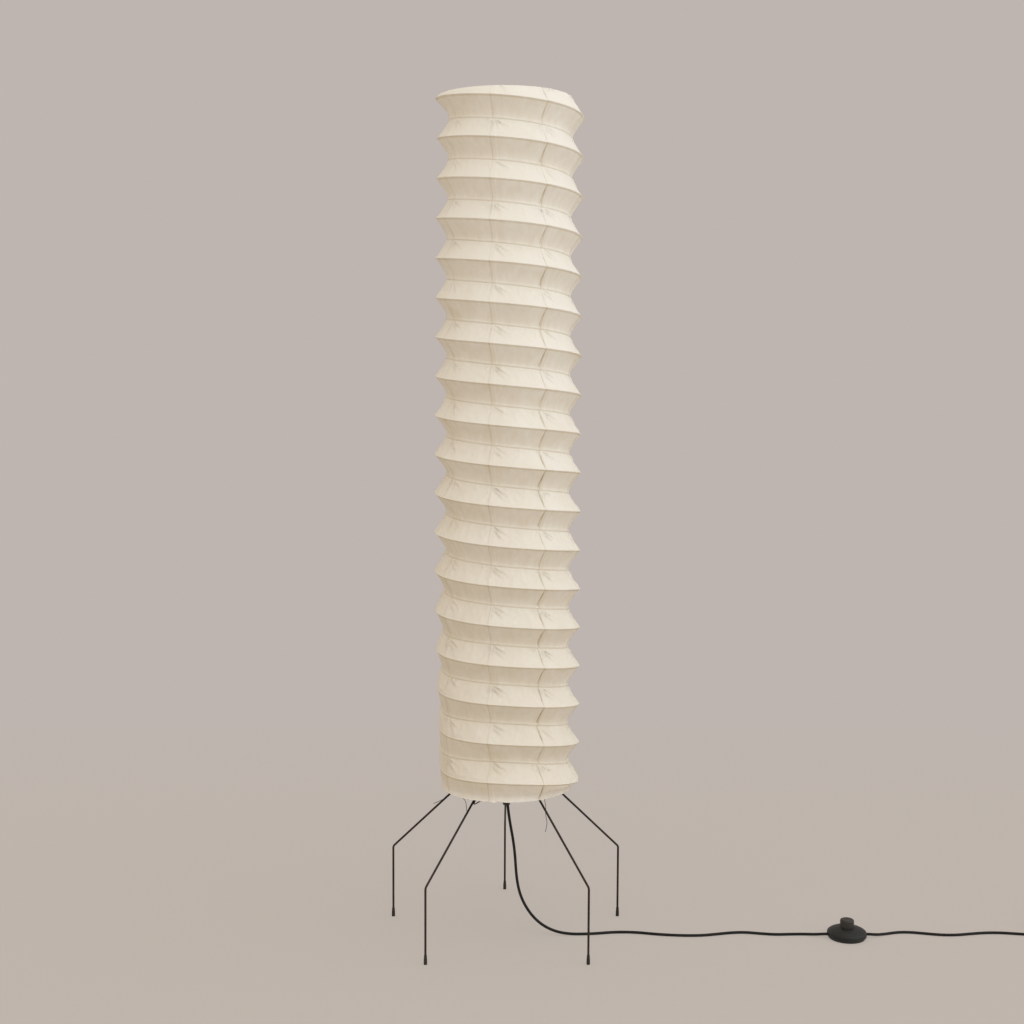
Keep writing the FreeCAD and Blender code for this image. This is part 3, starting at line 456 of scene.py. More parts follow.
def plain_mesh(piece, name):
    """Turn what the piece's modifiers make into a plain mesh object of that name."""
    graph = bpy.context.evaluated_depsgraph_get()
    mesh = bpy.data.meshes.new_from_object(piece.evaluated_get(graph), depsgraph=graph)
    mesh.name = name
    bpy.data.objects.remove(piece)
    mesh.shade_smooth()
    return in_scene(name, mesh)


def grown(tree, name, **settings):
    """An empty mesh object with the node tree on it, its inputs set by the names of its sockets."""
    piece = in_scene(name, bpy.data.meshes.new(name))
    modifier = piece.modifiers.new(name, "NODES")
    modifier.node_group = tree
    for item in tree.interface.items_tree:
        if item.in_out == "INPUT" and item.name in settings:
            modifier[item.identifier] = settings[item.name]
    return piece


SPRING_INPUTS = {"Turns": 4.0, "Coil radius": 0.006, "Tall": 0.0192, "Wire radius": 0.0005}


def spring_tree():
    """The node tree of an open coil spring that stands on its own centre."""
    tree, size = new_tree("coiled_spring", SPRING_INPUTS, "Steel", "Spring")
    coil = tree.nodes.new("GeometryNodeCurveSpiral")
    coil.inputs["Resolution"].default_value = 32
    for title in ("Start Radius", "End Radius"):
        tree.links.new(size["Coil radius"].socket, coil.inputs[title])
    tree.links.new(size["Turns"].socket, coil.inputs["Rotations"])
    tree.links.new(size["Tall"].socket, coil.inputs["Height"])
    sweep_wire(tree, coil.outputs[0], size["Wire radius"], 10)
    return tree


spring_foot = 0.0110
spring_piece = grown(spring_tree(), "return_spring", Steel=plated_steel)
spring_piece = plain_mesh(spring_piece, "return_spring")
spring_piece.data.transform(Matrix.Translation((switch_x, switch_y, spring_foot)))
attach(spring_piece, "stand")
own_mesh(spring_piece)
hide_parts("switch_spring")


# ---------------------------------------------------------------- plug
# A moulded two-pin mains plug with a slightly waisted grip and a tapered, ribbed strain relief;
# it lies on the floor beside the coil. The pins are nickel plated brass.
plug_plastic = worn_material(
    "plug_plastic", (0.010, 0.010, 0.010), (0.020, 0.020, 0.019), 0.5, 1000.0, 0.0001
)
relief_long, relief_radius, plug_long = 0.026, 0.0044, 0.036
plug_half_wide, plug_half_thick = 0.015, plug_start.z


def plug_section(mesh, along, half_wide, half_thick, squareness, count=40):
    """One cross section of the plug: a rounded rectangle, square to the cord's tail."""
    ring = []
    for corner in range(count):
        turn = math.tau * corner / count
        c, s = math.cos(turn), math.sin(turn)
        x = math.copysign(abs(c) ** squareness, c) * half_wide
        z = math.copysign(abs(s) ** squareness, s) * half_thick
        ring.append(mesh.verts.new((plug_start.x + x, plug_start.y + along, plug_start.z + z)))
    return ring


mesh = bmesh.new()
sections = []
relief_steps = 26
for step in range(relief_steps + 1):
    share = step / relief_steps
    rib = 0.00045 if step % 4 in (1, 2) and 1 < step < relief_steps - 1 else 0.0
    radius = cord_radius + 0.0005 + (relief_radius - cord_radius) * share + rib
    sections.append(plug_section(mesh, relief_long * share, radius, radius, 1.0))
shoulder_steps = 12
for step in range(1, shoulder_steps + 1):
    share = step / shoulder_steps
    grow = math.sin(share * math.pi / 2) ** 0.8
    waist = 1.0 - 0.06 * math.sin(share * math.pi)
    wide = relief_radius + (plug_half_wide - relief_radius) * grow * waist
    thick = relief_radius + (plug_half_thick - relief_radius) * grow
    along = relief_long + plug_long * 0.93 * share
    sections.append(plug_section(mesh, along, wide, thick, 1.0 - 0.5 * grow))
for along, inset in ((0.97, 0.0002), (0.99, 0.0007), (1.0, 0.0016)):
    half_wide, half_thick = plug_half_wide - inset, plug_half_thick - inset
    sections.append(
        plug_section(mesh, relief_long + plug_long * along, half_wide, half_thick, 0.5)
    )
skin_rings(mesh, sections)
mesh.faces.new(sections[0])
mesh.faces.new(sections[-1])
plug_grip = finished_piece("plug_grip", mesh, plug_plastic)
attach(plug_grip, "stand")
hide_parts("plug_body")
nickel = worn_material("nickel", (0.55, 0.54, 0.51), (0.74, 0.73, 0.70), 0.2, 1600.0, 0.00002, 1.0)
finish_nodes(nickel, "plug_pins")

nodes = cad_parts
switch_pieces = [switch_dome, push_button, nodes["switch_base"], nodes["switch_screws"]]
switch_pieces += [spring_piece, nodes["switch_contacts"]]

# ---------------------------------------------------------------- tie threads
# Loose ends of the dark cotton thread that ties the bottom ring and its hooks to the legs, left
# uncut at three of them: one at the ring itself, two at the hooks.
thread_radius = 0.0005
ring_under = 0.281 - 0.0015 - thread_radius - 0.0001
cotton, cotton_tree, cotton_shader = new_material("dark_cotton", (0.030, 0.024, 0.018), 0.9)
twist = noise(cotton_tree, 1500.0, 2.0)
tint(cotton_tree, cotton_shader, twist, (0.020, 0.016, 0.012), (0.065, 0.052, 0.040))
relief(cotton_tree, cotton_shader, twist, 0.0002)
thread_routes = {
    "tie_thread_1": [
        (-0.0902, 0.0233, 0.2731),
        (-0.0977, 0.0258, 0.2645),
        (-0.1054, 0.0282, 0.2564),
        (-0.1126, 0.0310, 0.2482),
        (-0.1194, 0.0329, 0.2416),
        (-0.1260, 0.0343, 0.2381),
        (-0.1320, 0.0356, 0.2349),
        (-0.1393, 0.0368, 0.2314),
    ],
    "tie_thread_2": [
        (-0.0836, -0.0841, ring_under),
        (-0.0793, -0.0882, ring_under - 0.0017),
        (-0.0745, -0.0904, ring_under - 0.0064),
        (-0.0730, -0.0906, ring_under - 0.0129),
        (-0.0726, -0.0903, ring_under - 0.0194),
        (-0.0722, -0.0904, ring_under - 0.0255),
    ],
    "tie_thread_4": [
        (0.0695, -0.0722, 0.2741),
        (0.0712, -0.0726, 0.2640),
        (0.0727, -0.0722, 0.2554),
        (0.0721, -0.0716, 0.2461),
        (0.0728, -0.0720, 0.2376),
        (0.0751, -0.0724, 0.2283),
        (0.0742, -0.0720, 0.2189),
        (0.0719, -0.0716, 0.2095),
    ],
}
thread_facts = {
    "tie_thread_1": ("stand", 0.067),
    "tie_thread_2": ("shade_foot", 0.0315),
    "tie_thread_4": ("stand", 0.065),
}
for node, route in thread_routes.items():
    body, length = thread_facts[node]
    thread = cord_line(node.replace("tie", "loose"), route, thread_radius, cotton)
    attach(thread, body)
    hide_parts(node)

# ---------------------------------------------------------------- paper shade
# Eight upright strips of thick handmade paper, pasted edge over edge and folded along a helix
# over two wires, one behind the ridges and one behind the valleys. The paper dips between the
# wires, stands up in a bead over each, and crumples where a seam crosses a fold.
SHADE_INPUTS = {
    "Start angle": -15.0,
    "Gore angle": 45.0,
    "Overlap angle": 4.3,
    "Shade top": 1.546,
    "Shade bottom": 0.278,
    "Ridge radius": 0.135,
    "Valley radius": 0.113,
    "Rim radius": 0.1215,
    "Fold pitch": 0.0714,
    "Front ridge": 1.5266,
    "Ridge fade": 0.016,
    "Valley fade": 0.057,
    "Tuck": 0.0,
    "Seed": 1.0,
}
GORE_COLUMNS = 64
ROWS_PER_FOLD = 20
HALF_TURNS = 38
SAG_SIDE, SAG_OVAL, SAG_ALL = 0.006, 0.0065, -0.0035
SLACK_ABOVE, SLACK_BELOW = 0.9, 0.314
SLUMP, RIDGE_SLUMP, RIDGE_ROUND, VALLEY_ROUND = 0.0130, 0.0107, 0.0012, 0.0012
VALLEY_DEEPER, LEAN, LEAN_ALL = 0.0018, 0.0026, -0.0010


def vector(tree, x, y, z):
    """Three numbers joined into one vector."""
    join = tree.nodes.new("ShaderNodeCombineXYZ")
    feed(tree, join.inputs, (x, y, z))
    return join.outputs[0]


def moved_round(tree, geometry, radius, radians, height):
    """Move each point to its radius, turn and height about the lamp's axis."""
    move = tree.nodes.new("GeometryNodeSetPosition")
    tree.links.new(geometry, move.inputs["Geometry"])
    x, y = radius * radians.maths("SINE"), radius * radians.maths("COSINE") * -1.0
    tree.links.new(vector(tree, x, y, height), move.inputs["Position"])
    return move.outputs[0]


def sagged(level, radians):
    """Height of the hung paper for its height as folded: the lower folds sag to the left."""
    sag = radians.maths("SINE") * SAG_SIDE + (radians * 2.0).maths("COSINE") * SAG_OVAL + SAG_ALL
    slack = level.between(SLACK_ABOVE, SLACK_BELOW)
    return level + sag * slack * slack, sag


def slumped(height, radians):
    """0 where the folds hang straight, up to 1 low on the left, where they have settled."""
    return (radians.maths("SINE") * -1.0).between(0.25, 0.95) * height.between(0.74, 0.34)


def leaning(height, radians):
    """How far the folds below the top ring stand out to the right and in on the left, in metres."""
    below_ring = height.between(1.30, 1.50) * height.between(1.542, 1.522)
    return below_ring * (radians.maths("SINE") * LEAN + LEAN_ALL)


def ridge_radius(size, height, radians):
    """Radius of the ridges: they draw in a little high up and where the folds have slumped."""
    above_rim = height - size["Shade bottom"]
    settled = slumped(height, radians)
    stand_out = size["Ridge radius"] - size["Rim radius"] - height.between(0.85, 1.2) * RIDGE_ROUND
    stand_out = stand_out - settled * settled * RIDGE_SLUMP
    stand_out = stand_out + leaning(height, radians)
    return size["Rim radius"] + stand_out * above_rim.between(0.0, size["Ridge fade"])


def valley_radius(size, height, radians):
    """Radius of the valleys: shallower where the folds have slumped, and flat near the rim."""
    above_rim = height - size["Shade bottom"]
    draw_in = size["Valley radius"] - size["Rim radius"] + slumped(height, radians) * SLUMP
    draw_in = draw_in + (VALLEY_ROUND - VALLEY_DEEPER) + leaning(height, radians)
    return size["Rim radius"] + draw_in * above_rim.between(
        size["Valley fade"] / 2.0, size["Valley fade"]
    )


def bell(distance, width):
    """1 at no distance, falling off smoothly over the width."""
    ratio = distance / width
    return (ratio * ratio * -1.0).maths("EXPONENT")


def tent(distance, width):
    """1 at no distance, falling off in two straight slopes that meet in a sharp crest."""
    return 1.0 - (distance / width).maths("ABSOLUTE").maths("MINIMUM", 1.0)


# Beads over the wires and the pinched line below each: how high or deep, how wide, how far below.
RIDGE_BEAD, RIDGE_BEAD_WIDE = 0.0009, 0.0014
VALLEY_BEAD, VALLEY_BEAD_WIDE, VALLEY_SOFT = 0.0015, 0.0015, 0.0055
RIDGE_PINCH, RIDGE_PINCH_WIDE, RIDGE_PINCH_BELOW = 0.0005, 0.0010, 0.0021
VALLEY_PINCH, VALLEY_PINCH_WIDE, VALLEY_PINCH_BELOW = 0.0007, 0.0011, 0.0022
# The dip between the wires, the pasted lap in degrees, and the creases: how wide, how deep.
HOLLOW, HOLLOW_SLUMPED = 0.34, 0.85
LAP_FULL, LAP_END, LAP_THICK = 3.9, 4.9, 0.00055
SEAM_RADIUS, NOISE_RADIUS = 0.122, 0.125
FAN_WIDE, FAN_DEEP, FAN_LEAST = 0.10, 0.0017, 0.0006
CREASE_WIDE, CREASE_DEEP, CREASE_LOWER = 0.0028, 0.0026, 0.0010
TUCK_WIDE, TUCK_DEEP, TUCK_ASIDE = 0.0011, 0.0018, 0.0056


def shade_tree():
    """The node tree that folds a flat grid into one gore of the shade."""
    tree, size = new_tree("folded_gore", SHADE_INPUTS, "Paper", "Gore")
    grid = tree.nodes.new("GeometryNodeMeshGrid")
    grid.inputs["Size X"].default_value = 1.0
    grid.inputs["Size Y"].default_value = 1.0
    grid.inputs["Vertices X"].default_value = GORE_COLUMNS + 1
    grid.inputs["Vertices Y"].default_value = HALF_TURNS * ROWS_PER_FOLD + 1
    split = tree.nodes.new("ShaderNodeSeparateXYZ")
    place = tree.nodes.new("GeometryNodeInputPosition")
    tree.links.new(place.outputs[0], split.inputs[0])
    across = Field(tree, split.outputs["X"]) + 0.5
    across = across - (across * math.tau).maths("SINE") * (0.5 / math.tau)
    down = 0.5 - Field(tree, split.outputs["Y"])

    # angles in degrees from the front; folds in half turns below the front ridge
    along = across * (size["Gore angle"] + size["Overlap angle"])
    turn = size["Start angle"] + along
    radians = turn * math.radians(1.0)
    folds = down * HALF_TURNS
    whole = (folds + 1e-4).maths("FLOOR")
    part = folds - whole
    first = ((size["Front ridge"] - size["Shade top"]) * 2.0 / size["Fold pitch"]).maths("FLOOR")
    first = first - (size["Start angle"] / 180.0).maths("CEIL") - 1.0
    closer = part - (part * math.tau).maths("SINE") * (0.62 / math.tau)
    fold = whole + closer + first

    # a flat cut at both rims
    half_pitch = size["Fold pitch"] / 2.0
    _, sag = sagged(size["Shade bottom"], radians)
    top_fold = (size["Front ridge"] - size["Shade top"]) / half_pitch - turn / 180.0
    bottom_fold = (size["Front ridge"] - size["Shade bottom"] + sag) / half_pitch - turn / 180.0
    fold = fold.maths("MAXIMUM", top_fold).maths("MINIMUM", bottom_fold)
    level = size["Front ridge"] - half_pitch * (fold + turn / 180.0)
    height, sag = sagged(level, radians)

    # 0 on a ridge, 1 in a valley; the facet under a ridge faces down, the one below a valley up
    phase = fold - (fold / 2.0).maths("FLOOR") * 2.0
    depth = 1.0 - (phase - 1.0).maths("ABSOLUTE")
    under = phase.between(1.02, 0.98)
    upper = 1.0 - under
    above_rim = height - size["Shade bottom"]
    hollow = HOLLOW - slumped(height, radians) * HOLLOW_SLUMPED
    dip = depth * (1.0 + (1.0 - depth) * (depth + 0.5) * hollow)
    ridge, valley = ridge_radius(size, height, radians), valley_radius(size, height, radians)
    radius = ridge + (valley - ridge) * dip
    from_valley = (1.0 - depth) * half_pitch
    radius = radius + (bell(from_valley, VALLEY_SOFT) - 1.0) * VALLEY_ROUND * dip

    # beads of paper over the two wires, each with a pinched line along its lower side
    rim_near = above_rim.between(0.004, 0.020)
    rim_clear = above_rim.between(0.020, 0.040)
    drop = (phase - 1.0) * half_pitch
    ridge_bead = bell(depth * half_pitch, RIDGE_BEAD_WIDE)
    valley_bead = bell(from_valley, VALLEY_BEAD_WIDE) * rim_clear
    ridge_pinch = bell(phase * half_pitch - RIDGE_PINCH_BELOW, RIDGE_PINCH_WIDE) * rim_near
    valley_pinch = bell(drop - VALLEY_PINCH_BELOW, VALLEY_PINCH_WIDE) * rim_clear
    radius = radius + ridge_bead * RIDGE_BEAD + valley_bead * VALLEY_BEAD
    radius = radius - ridge_pinch * RIDGE_PINCH - valley_pinch * VALLEY_PINCH

    # the pasted overlap lies on the strip before it
    pasted = along.between(LAP_END, LAP_FULL)
    radius = radius + pasted * LAP_THICK

    # handmade paper is never flat: soft hollows, then sharp little crumples
    def random_number(x, y, z, scale, detail):
        texture = tree.nodes.new("ShaderNodeTexNoise")
        texture.inputs["Scale"].default_value = scale
        texture.inputs["Detail"].default_value = detail
        tree.links.new(vector(tree, x, y, z), texture.inputs["Vector"])
        return Field(tree, texture.outputs[0])

    seed = size["Seed"]
    side_x = radians.maths("SINE") * NOISE_RADIUS
    side_y = radians.maths("COSINE") * NOISE_RADIUS
    around = side_y + seed
    lower_half = height.between(1.25, 0.85)
    soft = random_number(side_x, height, around, 20.0, 1.5) - 0.5
    fine = random_number(side_x, height, around + 7.0, 70.0, 2.0) - 0.5
    creased = tent(random_number(side_x, height, around + 3.0, 34.0, 1.5) - 0.5, 0.08)
    crossing = tent(random_number(side_x, height, around + 11.0, 50.0, 1.5) - 0.5, 0.11)
    free = (1.0 - ridge_bead) * (1.0 - valley_bead) * (1.0 - ridge_pinch) * (1.0 - valley_pinch)
    free = free * bell(depth * half_pitch, 0.004) * -1.0 + free
    radius = radius + soft * free * 0.0030 + fine * free * 0.0007
    radius = radius + creased * free * (upper * (lower_half * 0.0007 + 0.0004) + 0.00015)
    radius = radius + crossing * free * upper * (lower_half * 0.0004 + 0.0002)

    # rays of creases fan out below each valley, to both sides of a seam
    metres = math.radians(1.0) * SEAM_RADIUS
    from_left = (along - 1.6) * metres
    from_right = (along - size["Gore angle"] - 1.6) * metres
    last_ridge = (fold / 2.0).maths("FLOOR") * 2.0
    ridge_above = size["Front ridge"] - half_pitch * (last_ridge + turn / 180.0)
    rays = 0.0
    for arm, seam in (
        (from_left, size["Start angle"]),
        (from_right, size["Start angle"] + size["Gore angle"]),
    ):
        seam = seam * math.radians(1.0)
        seam = seam.maths("SINE") * 5.0 + seam.maths("COSINE") * 9.0 + seed
        reach = (arm * arm + drop * drop).maths("SQRT")
        angle = drop.maths("ARCTAN2", arm)
        fan = random_number(angle * 2.1, ridge_above * 52.0, seam, 2.4, 1.0) - 0.5
        strength = random_number(ridge_above * 29.0, seam, 0.5, 1.0, 0.0).between(0.35, 0.62)
        fan = tent(fan, FAN_WIDE) * reach.between(0.029, 0.010) * reach.between(0.004, 0.011)
        rays = fan * (strength * FAN_DEEP + FAN_LEAST) + rays
    radius = radius + rays * upper * free

    # lower down one or two strong creases fall away from the seam under the valley
    own_seam = size["Start angle"] * 0.113 + seed
    # painted shade along the crests of the fanned creases
    painted_crease_shade = rays * upper * free * 70.0
    for number, start, slope, long in ((0.0, 0.0035, 0.42, 0.034), (1.0, 0.0095, 0.62, 0.026)):
        choice = random_number(ridge_above * 27.0, own_seam, number, 1.3, 0.0)
        tilt = slope * (0.55 + choice * 0.9)
        wander = random_number(side_x, height, around + number, 45.0, 1.0) - 0.5
        off = drop - start - (from_left - 0.004) * tilt + wander * 0.006
        length = from_left.between(0.001, 0.008) * from_left.between(long, long * 0.55)
        length = length * upper * free * choice.between(0.24 + number * 0.16, 0.44)
        crease = tent(off, CREASE_WIDE) * length
        radius = radius + crease * (lower_half * CREASE_LOWER + CREASE_DEEP)
        # painted shadow on the dark side of each strong crease
        painted_crease_shade = painted_crease_shade + tent(off - 0.0021, 0.0019) * length * 0.8

    # at every other seam the edge is tucked in a sharp crease, bent at each valley
    bend = drop.maths("ABSOLUTE")
    wave = random_number(height, ridge_above, seed, 60.0, 1.0) - 0.5
    line = from_right + TUCK_ASIDE - (bend - 0.008) * 0.10 + wave * 0.004
    often = random_number(ridge_above * 18.0, own_seam, under, 1.7, 0.0).between(0.36, 0.60)
    stroke = bend.between(0.001, 0.005) * bend.between(0.033, 0.022) * size["Tuck"]
    tuck = bell(line, TUCK_WIDE) * stroke * (often + lower_half * 0.4)
    radius = radius - tuck * TUCK_DEEP * free
    rumple = bell(from_right, 0.014) * bend.between(0.020, 0.006) * crossing * size["Tuck"]
    lip = bell(line + 0.0028, 0.0016) * stroke
    radius = radius + (rumple * upper * 0.0011 + lip * 0.0006) * free

    # the colour's painted shade is stored on the flat grid, because moving it changes the fields:
    # which facets face down, the lap, and dark lines along the pinches, tucks, lap edges and creases
    geometry = grid.outputs["Mesh"]
    # painted shadow along the start edge of each strip, where the lap's edge stands, heavier on the
    # facets that face down
    edge = bell(along - 0.45, 0.5) * (under * 0.55 + 0.12)
    painted_line_shade = ridge_pinch + valley_pinch * 0.9 + tuck * 1.3 + edge + painted_crease_shade
    for name, value in (("under", under), ("pasted", pasted), ("painted_line_shade", painted_line_shade)):
        store = tree.nodes.new("GeometryNodeStoreNamedAttribute")
        store.data_type = "FLOAT"
        store.inputs["Name"].default_value = name
        tree.links.new(geometry, store.inputs["Geometry"])
        tree.links.new(value.socket, store.inputs["Value"])
        geometry = store.outputs[0]
    folded = moved_round(tree, geometry, radius, radians, height)
    merge = tree.nodes.new("GeometryNodeMergeByDistance")
    merge.inputs["Distance"].default_value = 1e-5
    tree.links.new(folded, merge.inputs["Geometry"])
    end_tree(tree, merge.outputs[0])
    return tree


def attribute(tree, name):
    """A number that the mesh holds under a name."""
    node = tree.nodes.new("ShaderNodeAttribute")
    node.attribute_name = name
    return Field(tree, node.outputs["Fac"])


def split_direction(tree, output):
    """The three parts of one output of the texture coordinates, as fields."""
    place = tree.nodes.new("ShaderNodeTexCoord")
    split = tree.nodes.new("ShaderNodeSeparateXYZ")
    tree.links.new(place.outputs[output], split.inputs[0])
    return [Field(tree, socket) for socket in split.outputs]


def paper_material():
    """Ivory handmade paper: cloudy pulp, long pale fibres, a darker double layer at each seam; painted
    shade darkens the facets that face down, the lower part of the shade and the lines along folds and
    creases.
    """
    material, tree, shader = new_material("washi_paper", (0.82, 0.75, 0.61), 0.86)
    shader.inputs["Specular IOR Level"].default_value = 0.25
    clouds = noise(tree, 17.0, 4.0)
    fibres = noise(tree, 210.0, 3.0, (1.0, 1.0, 0.16), "RIDGED_MULTIFRACTAL")
    strands = noise(tree, 120.0, 3.0, (0.25, 0.25, 1.0), "RIDGED_MULTIFRACTAL")
    streaks = noise(tree, 95.0, 3.0, (1.0, 1.0, 0.07))
    under = attribute(tree, "under")
    _, _, above_floor = split_direction(tree, "Object")
    painted_low_shade = above_floor.between(1.35, 0.30)
    # painted shade: darker towards the bottom and on the facets that face down; the pasted lap is a
    # little darker, more so on the down-facing facets, where that is painted shade too
    light = 1.0 - painted_low_shade * 0.24 - under * 0.15 - attribute(tree, "pasted") * (under * 0.04 + 0.01)
    light = light - (clouds - 0.5) * 0.34 - (fibres - 0.6) * 0.05
    # lighter again in a narrow band along the foot of the shade
    light = light + above_floor.between(0.300, 0.284) * 0.24
    # painted shade along the pinched lines under the wires, the tucks, the lap edges and the creases
    light = light - (streaks - 0.5) * (under * 0.3 + 0.1) - attribute(tree, "painted_line_shade") * 0.40
    # the dark end of the tint is the warm brown of the painted shade
    tint(tree, shader, light.between(-0.15, 1.0), (0.57, 0.44, 0.235), (0.87, 0.83, 0.745))
    pulp = noise(tree, 420.0, 4.0)
    crumple = noise(tree, 75.0, 3.0, (1.0, 1.0, 0.8), "RIDGED_MULTIFRACTAL")
    rough = fibres * 0.3 + strands * 0.25 + pulp * 0.5 + crumple * 0.6
    relief(tree, shader, rough, 0.0005, 0.7)
    return material


def folds_away(piece):
    """Attach the piece to the stand and give it its own mesh."""
    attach(piece, "stand")
    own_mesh(piece)


washi = paper_material()
folded_gore = shade_tree()
paper_thickness = 0.0005
for number in range(8):
    settings = {"Start angle": -15.0 + 45.0 * number, "Paper": washi}
    settings["Tuck"] = 1.0 - number % 2
    strip = grown(folded_gore, f"folded_paper_{number + 1}", **settings)
    wall = strip.modifiers.new("paper_thickness", "SOLIDIFY")
    wall.thickness = paper_thickness
    wall.offset = -1.0
    strip = plain_mesh(strip, f"folded_paper_{number + 1}")
    folds_away(strip)
    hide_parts(f"paper_gore_{number + 1}")

# ---------------------------------------------------------------- wires behind the folds
# One long helix of thin wire lies in the bead behind all the ridges, a second one behind all
# the valleys. Both are pasted to the paper from within and sag with it.
WIRE_INPUTS = {
    "First turn": 0.0,
    "Turning": 360.0,
    "Valley": 0.0,
    "Inset": 0.001,
    "Wire radius": 0.0008,
}
WIRE_POINTS = 760


def wire_tree():
    """The node tree that winds one wire along a fold of the shade."""
    tree, size = new_tree("fold_wire", {**SHADE_INPUTS, **WIRE_INPUTS}, "Wire", "Wound wire")
    line = tree.nodes.new("GeometryNodeMeshLine")
    line.inputs["Count"].default_value = WIRE_POINTS
    index = Field(tree, tree.nodes.new("GeometryNodeInputIndex").outputs[0])
    turn = size["First turn"] + size["Turning"] * (index / (WIRE_POINTS - 1.0))
    radians = turn * math.radians(1.0)
    level = size["Front ridge"] - size["Fold pitch"] * (turn / 360.0 + size["Valley"] / 2.0)
    height, _ = sagged(level, radians)
    ridge, valley = ridge_radius(size, height, radians), valley_radius(size, height, radians)
    radius = ridge + (valley - ridge) * size["Valley"] - size["Inset"]
    wound = moved_round(tree, line.outputs["Mesh"], radius, radians, height)
    curve = tree.nodes.new("GeometryNodeMeshToCurve")
    tree.links.new(wound, curve.inputs["Mesh"])
    sweep_wire(tree, curve.outputs[0], size["Wire radius"], 8)
    return tree


def last_turn(valley, lowest):
    """Degrees from the front, counted on round the helix, where a wire comes down to a height."""
    turn = 0.0
    while True:
        radians = math.radians(turn)
        level = SHADE_INPUTS["Front ridge"] - SHADE_INPUTS["Fold pitch"] * (turn / 360 + valley / 2)
        slack = min(1.0, max(0.0, (SLACK_ABOVE - level) / (SLACK_ABOVE - SLACK_BELOW)))
        sag = SAG_SIDE * math.sin(radians) + SAG_OVAL * math.cos(2 * radians) + SAG_ALL
        if level + sag * slack**2 < lowest:
            return turn
        turn += 3.0


rib_wire = worn_material("rib_wire", (0.50, 0.45, 0.36), (0.66, 0.61, 0.50), 0.5, 1300.0, 0.00004)
wound_wire = wire_tree()
wire_clear, below_top_ring = 0.0007, 0.010
wire_inset = paper_thickness + WIRE_INPUTS["Wire radius"] + wire_clear
for name, node, valley, bead, end_above in (
    ("ridge_wire", "ridge_rib", 0.0, RIDGE_BEAD, 0.019),
    ("valley_wire", "valley_rib", 1.0, VALLEY_BEAD, 0.057),
):
    below_top = SHADE_INPUTS["Front ridge"] - SHADE_INPUTS["Shade top"] + below_top_ring
    first_turn = 360.0 * (below_top / SHADE_INPUTS["Fold pitch"] - valley / 2)
    turning = last_turn(valley, SHADE_INPUTS["Shade bottom"] + end_above) - first_turn
    wire = grown(
        wound_wire,
        name,
        **{"First turn": first_turn, "Turning": turning, "Valley": valley},
        **{"Inset": wire_inset - bead, "Wire": rib_wire},
    )
    wire = plain_mesh(wire, name)
    folds_away(wire)
    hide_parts(node)

# ---------------------------------------------------------------- rings and spreader
# The bottom ring, the top ring and the three arms that carry it are ivory painted wire, the same
# colour as the paper that hides them.
ring_wire = worn_material("ring_wire", (0.56, 0.51, 0.41), (0.72, 0.67, 0.56), 0.42, 1300.0, 0.00004)
finish_nodes(ring_wire, "bottom_ring", "top_ring", "spreader_arms")

# ---------------------------------------------------------------- legs, tips and hooks
# Five bent wire legs, painted a satin brown that is nearly black, each in a short sleeve of
# matte rubber at its foot. Thin wire hooks of the same finish carry the bottom ring.
leg_paint = worn_material(
    "leg_paint", (0.013, 0.008, 0.005), (0.030, 0.019, 0.012), 0.42, 1500.0, 0.00004, shine=0.3
)
foot_rubber = worn_material(
    "foot_rubber", (0.010, 0.009, 0.008), (0.024, 0.021, 0.019), 0.75, 900.0, 0.00012
)
finish_nodes(leg_paint, "ring_hooks", *(f"leg_{number + 1}" for number in range(5)))
tip_flare, tip_neck, tip_edge = 0.0085, 0.0125, 0.0004
for number in range(5):
    tip_low, tip_high = (Vector(corner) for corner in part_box(f"foot_tip_{number + 1}"))
    tip_radius, tip_tall = (tip_high.x - tip_low.x) / 2, tip_high.z - tip_low.z
    tip_outline = [(0.0, 0.0), (tip_radius - tip_edge, 0.0), (tip_radius, 0.0005)]
    tip_outline += [(tip_radius, tip_flare), (tip_radius - tip_edge, tip_neck)]
    tip_outline += [(tip_radius - 0.0006, tip_tall), (tip_radius - 0.0012, tip_tall), (0.0, tip_tall)]
    tip_middle = ((tip_low.x + tip_high.x) / 2, (tip_low.y + tip_high.y) / 2, tip_low.z)
    tip = turned_piece(f"rubber_tip_{number + 1}", tip_outline, tip_middle, foot_rubber, sides=40)
    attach(tip, "stand")
    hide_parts(f"foot_tip_{number + 1}")

# ---------------------------------------------------------------- stem and hub
# A painted steel tube, with a cast hub clamped between two plated nuts, a boss on top, and a
# moulded bush that closes its foot round the cord. The cord goes on up inside.
stem_paint = worn_material(
    "stem_paint", (0.022, 0.017, 0.014), (0.050, 0.040, 0.033), 0.44, 1200.0, 0.00006
)
bush_plastic = worn_material(
    "bush_plastic", (0.011, 0.010, 0.009), (0.026, 0.023, 0.020), 0.60, 900.0, 0.0001
)
finish_nodes(stem_paint, "stem_tube", "leg_hub", "spreader_boss", "bracket_lower", "bracket_upper")
finish_nodes(plated_steel, "hub_nuts", "grub_screws", "holder_nipples")
finish_nodes(bush_plastic, "cord_bush")
finish_nodes(cord_sheath, "inner_cord", "lead_lower", "lead_upper")

# ---------------------------------------------------------------- lampholders and bulbs
# Two white moulded lampholders stand on brackets beside the stem. Each has a white coated bulb
# on a rolled screw cap.
holder_plastic = worn_material(
    "holder_plastic", (0.68, 0.65, 0.60), (0.80, 0.78, 0.73), 0.24, 900.0, 0.00004
)
cap_metal = worn_material(
    "cap_metal", (0.58, 0.57, 0.55), (0.80, 0.80, 0.78), 0.26, 1200.0, 0.00004, 1.0
)
bulb_glass = worn_material("bulb_glass", (0.80, 0.79, 0.75), (0.88, 0.87, 0.84), 0.16, 60.0, 0.00002)
finish_nodes(contact_brass, "holder_contacts")
THREAD_PITCH, THREAD_DEEP, THREAD_CLEAR = 0.0036, 0.0009, 0.0032
SOLDER_SHARE = 0.31


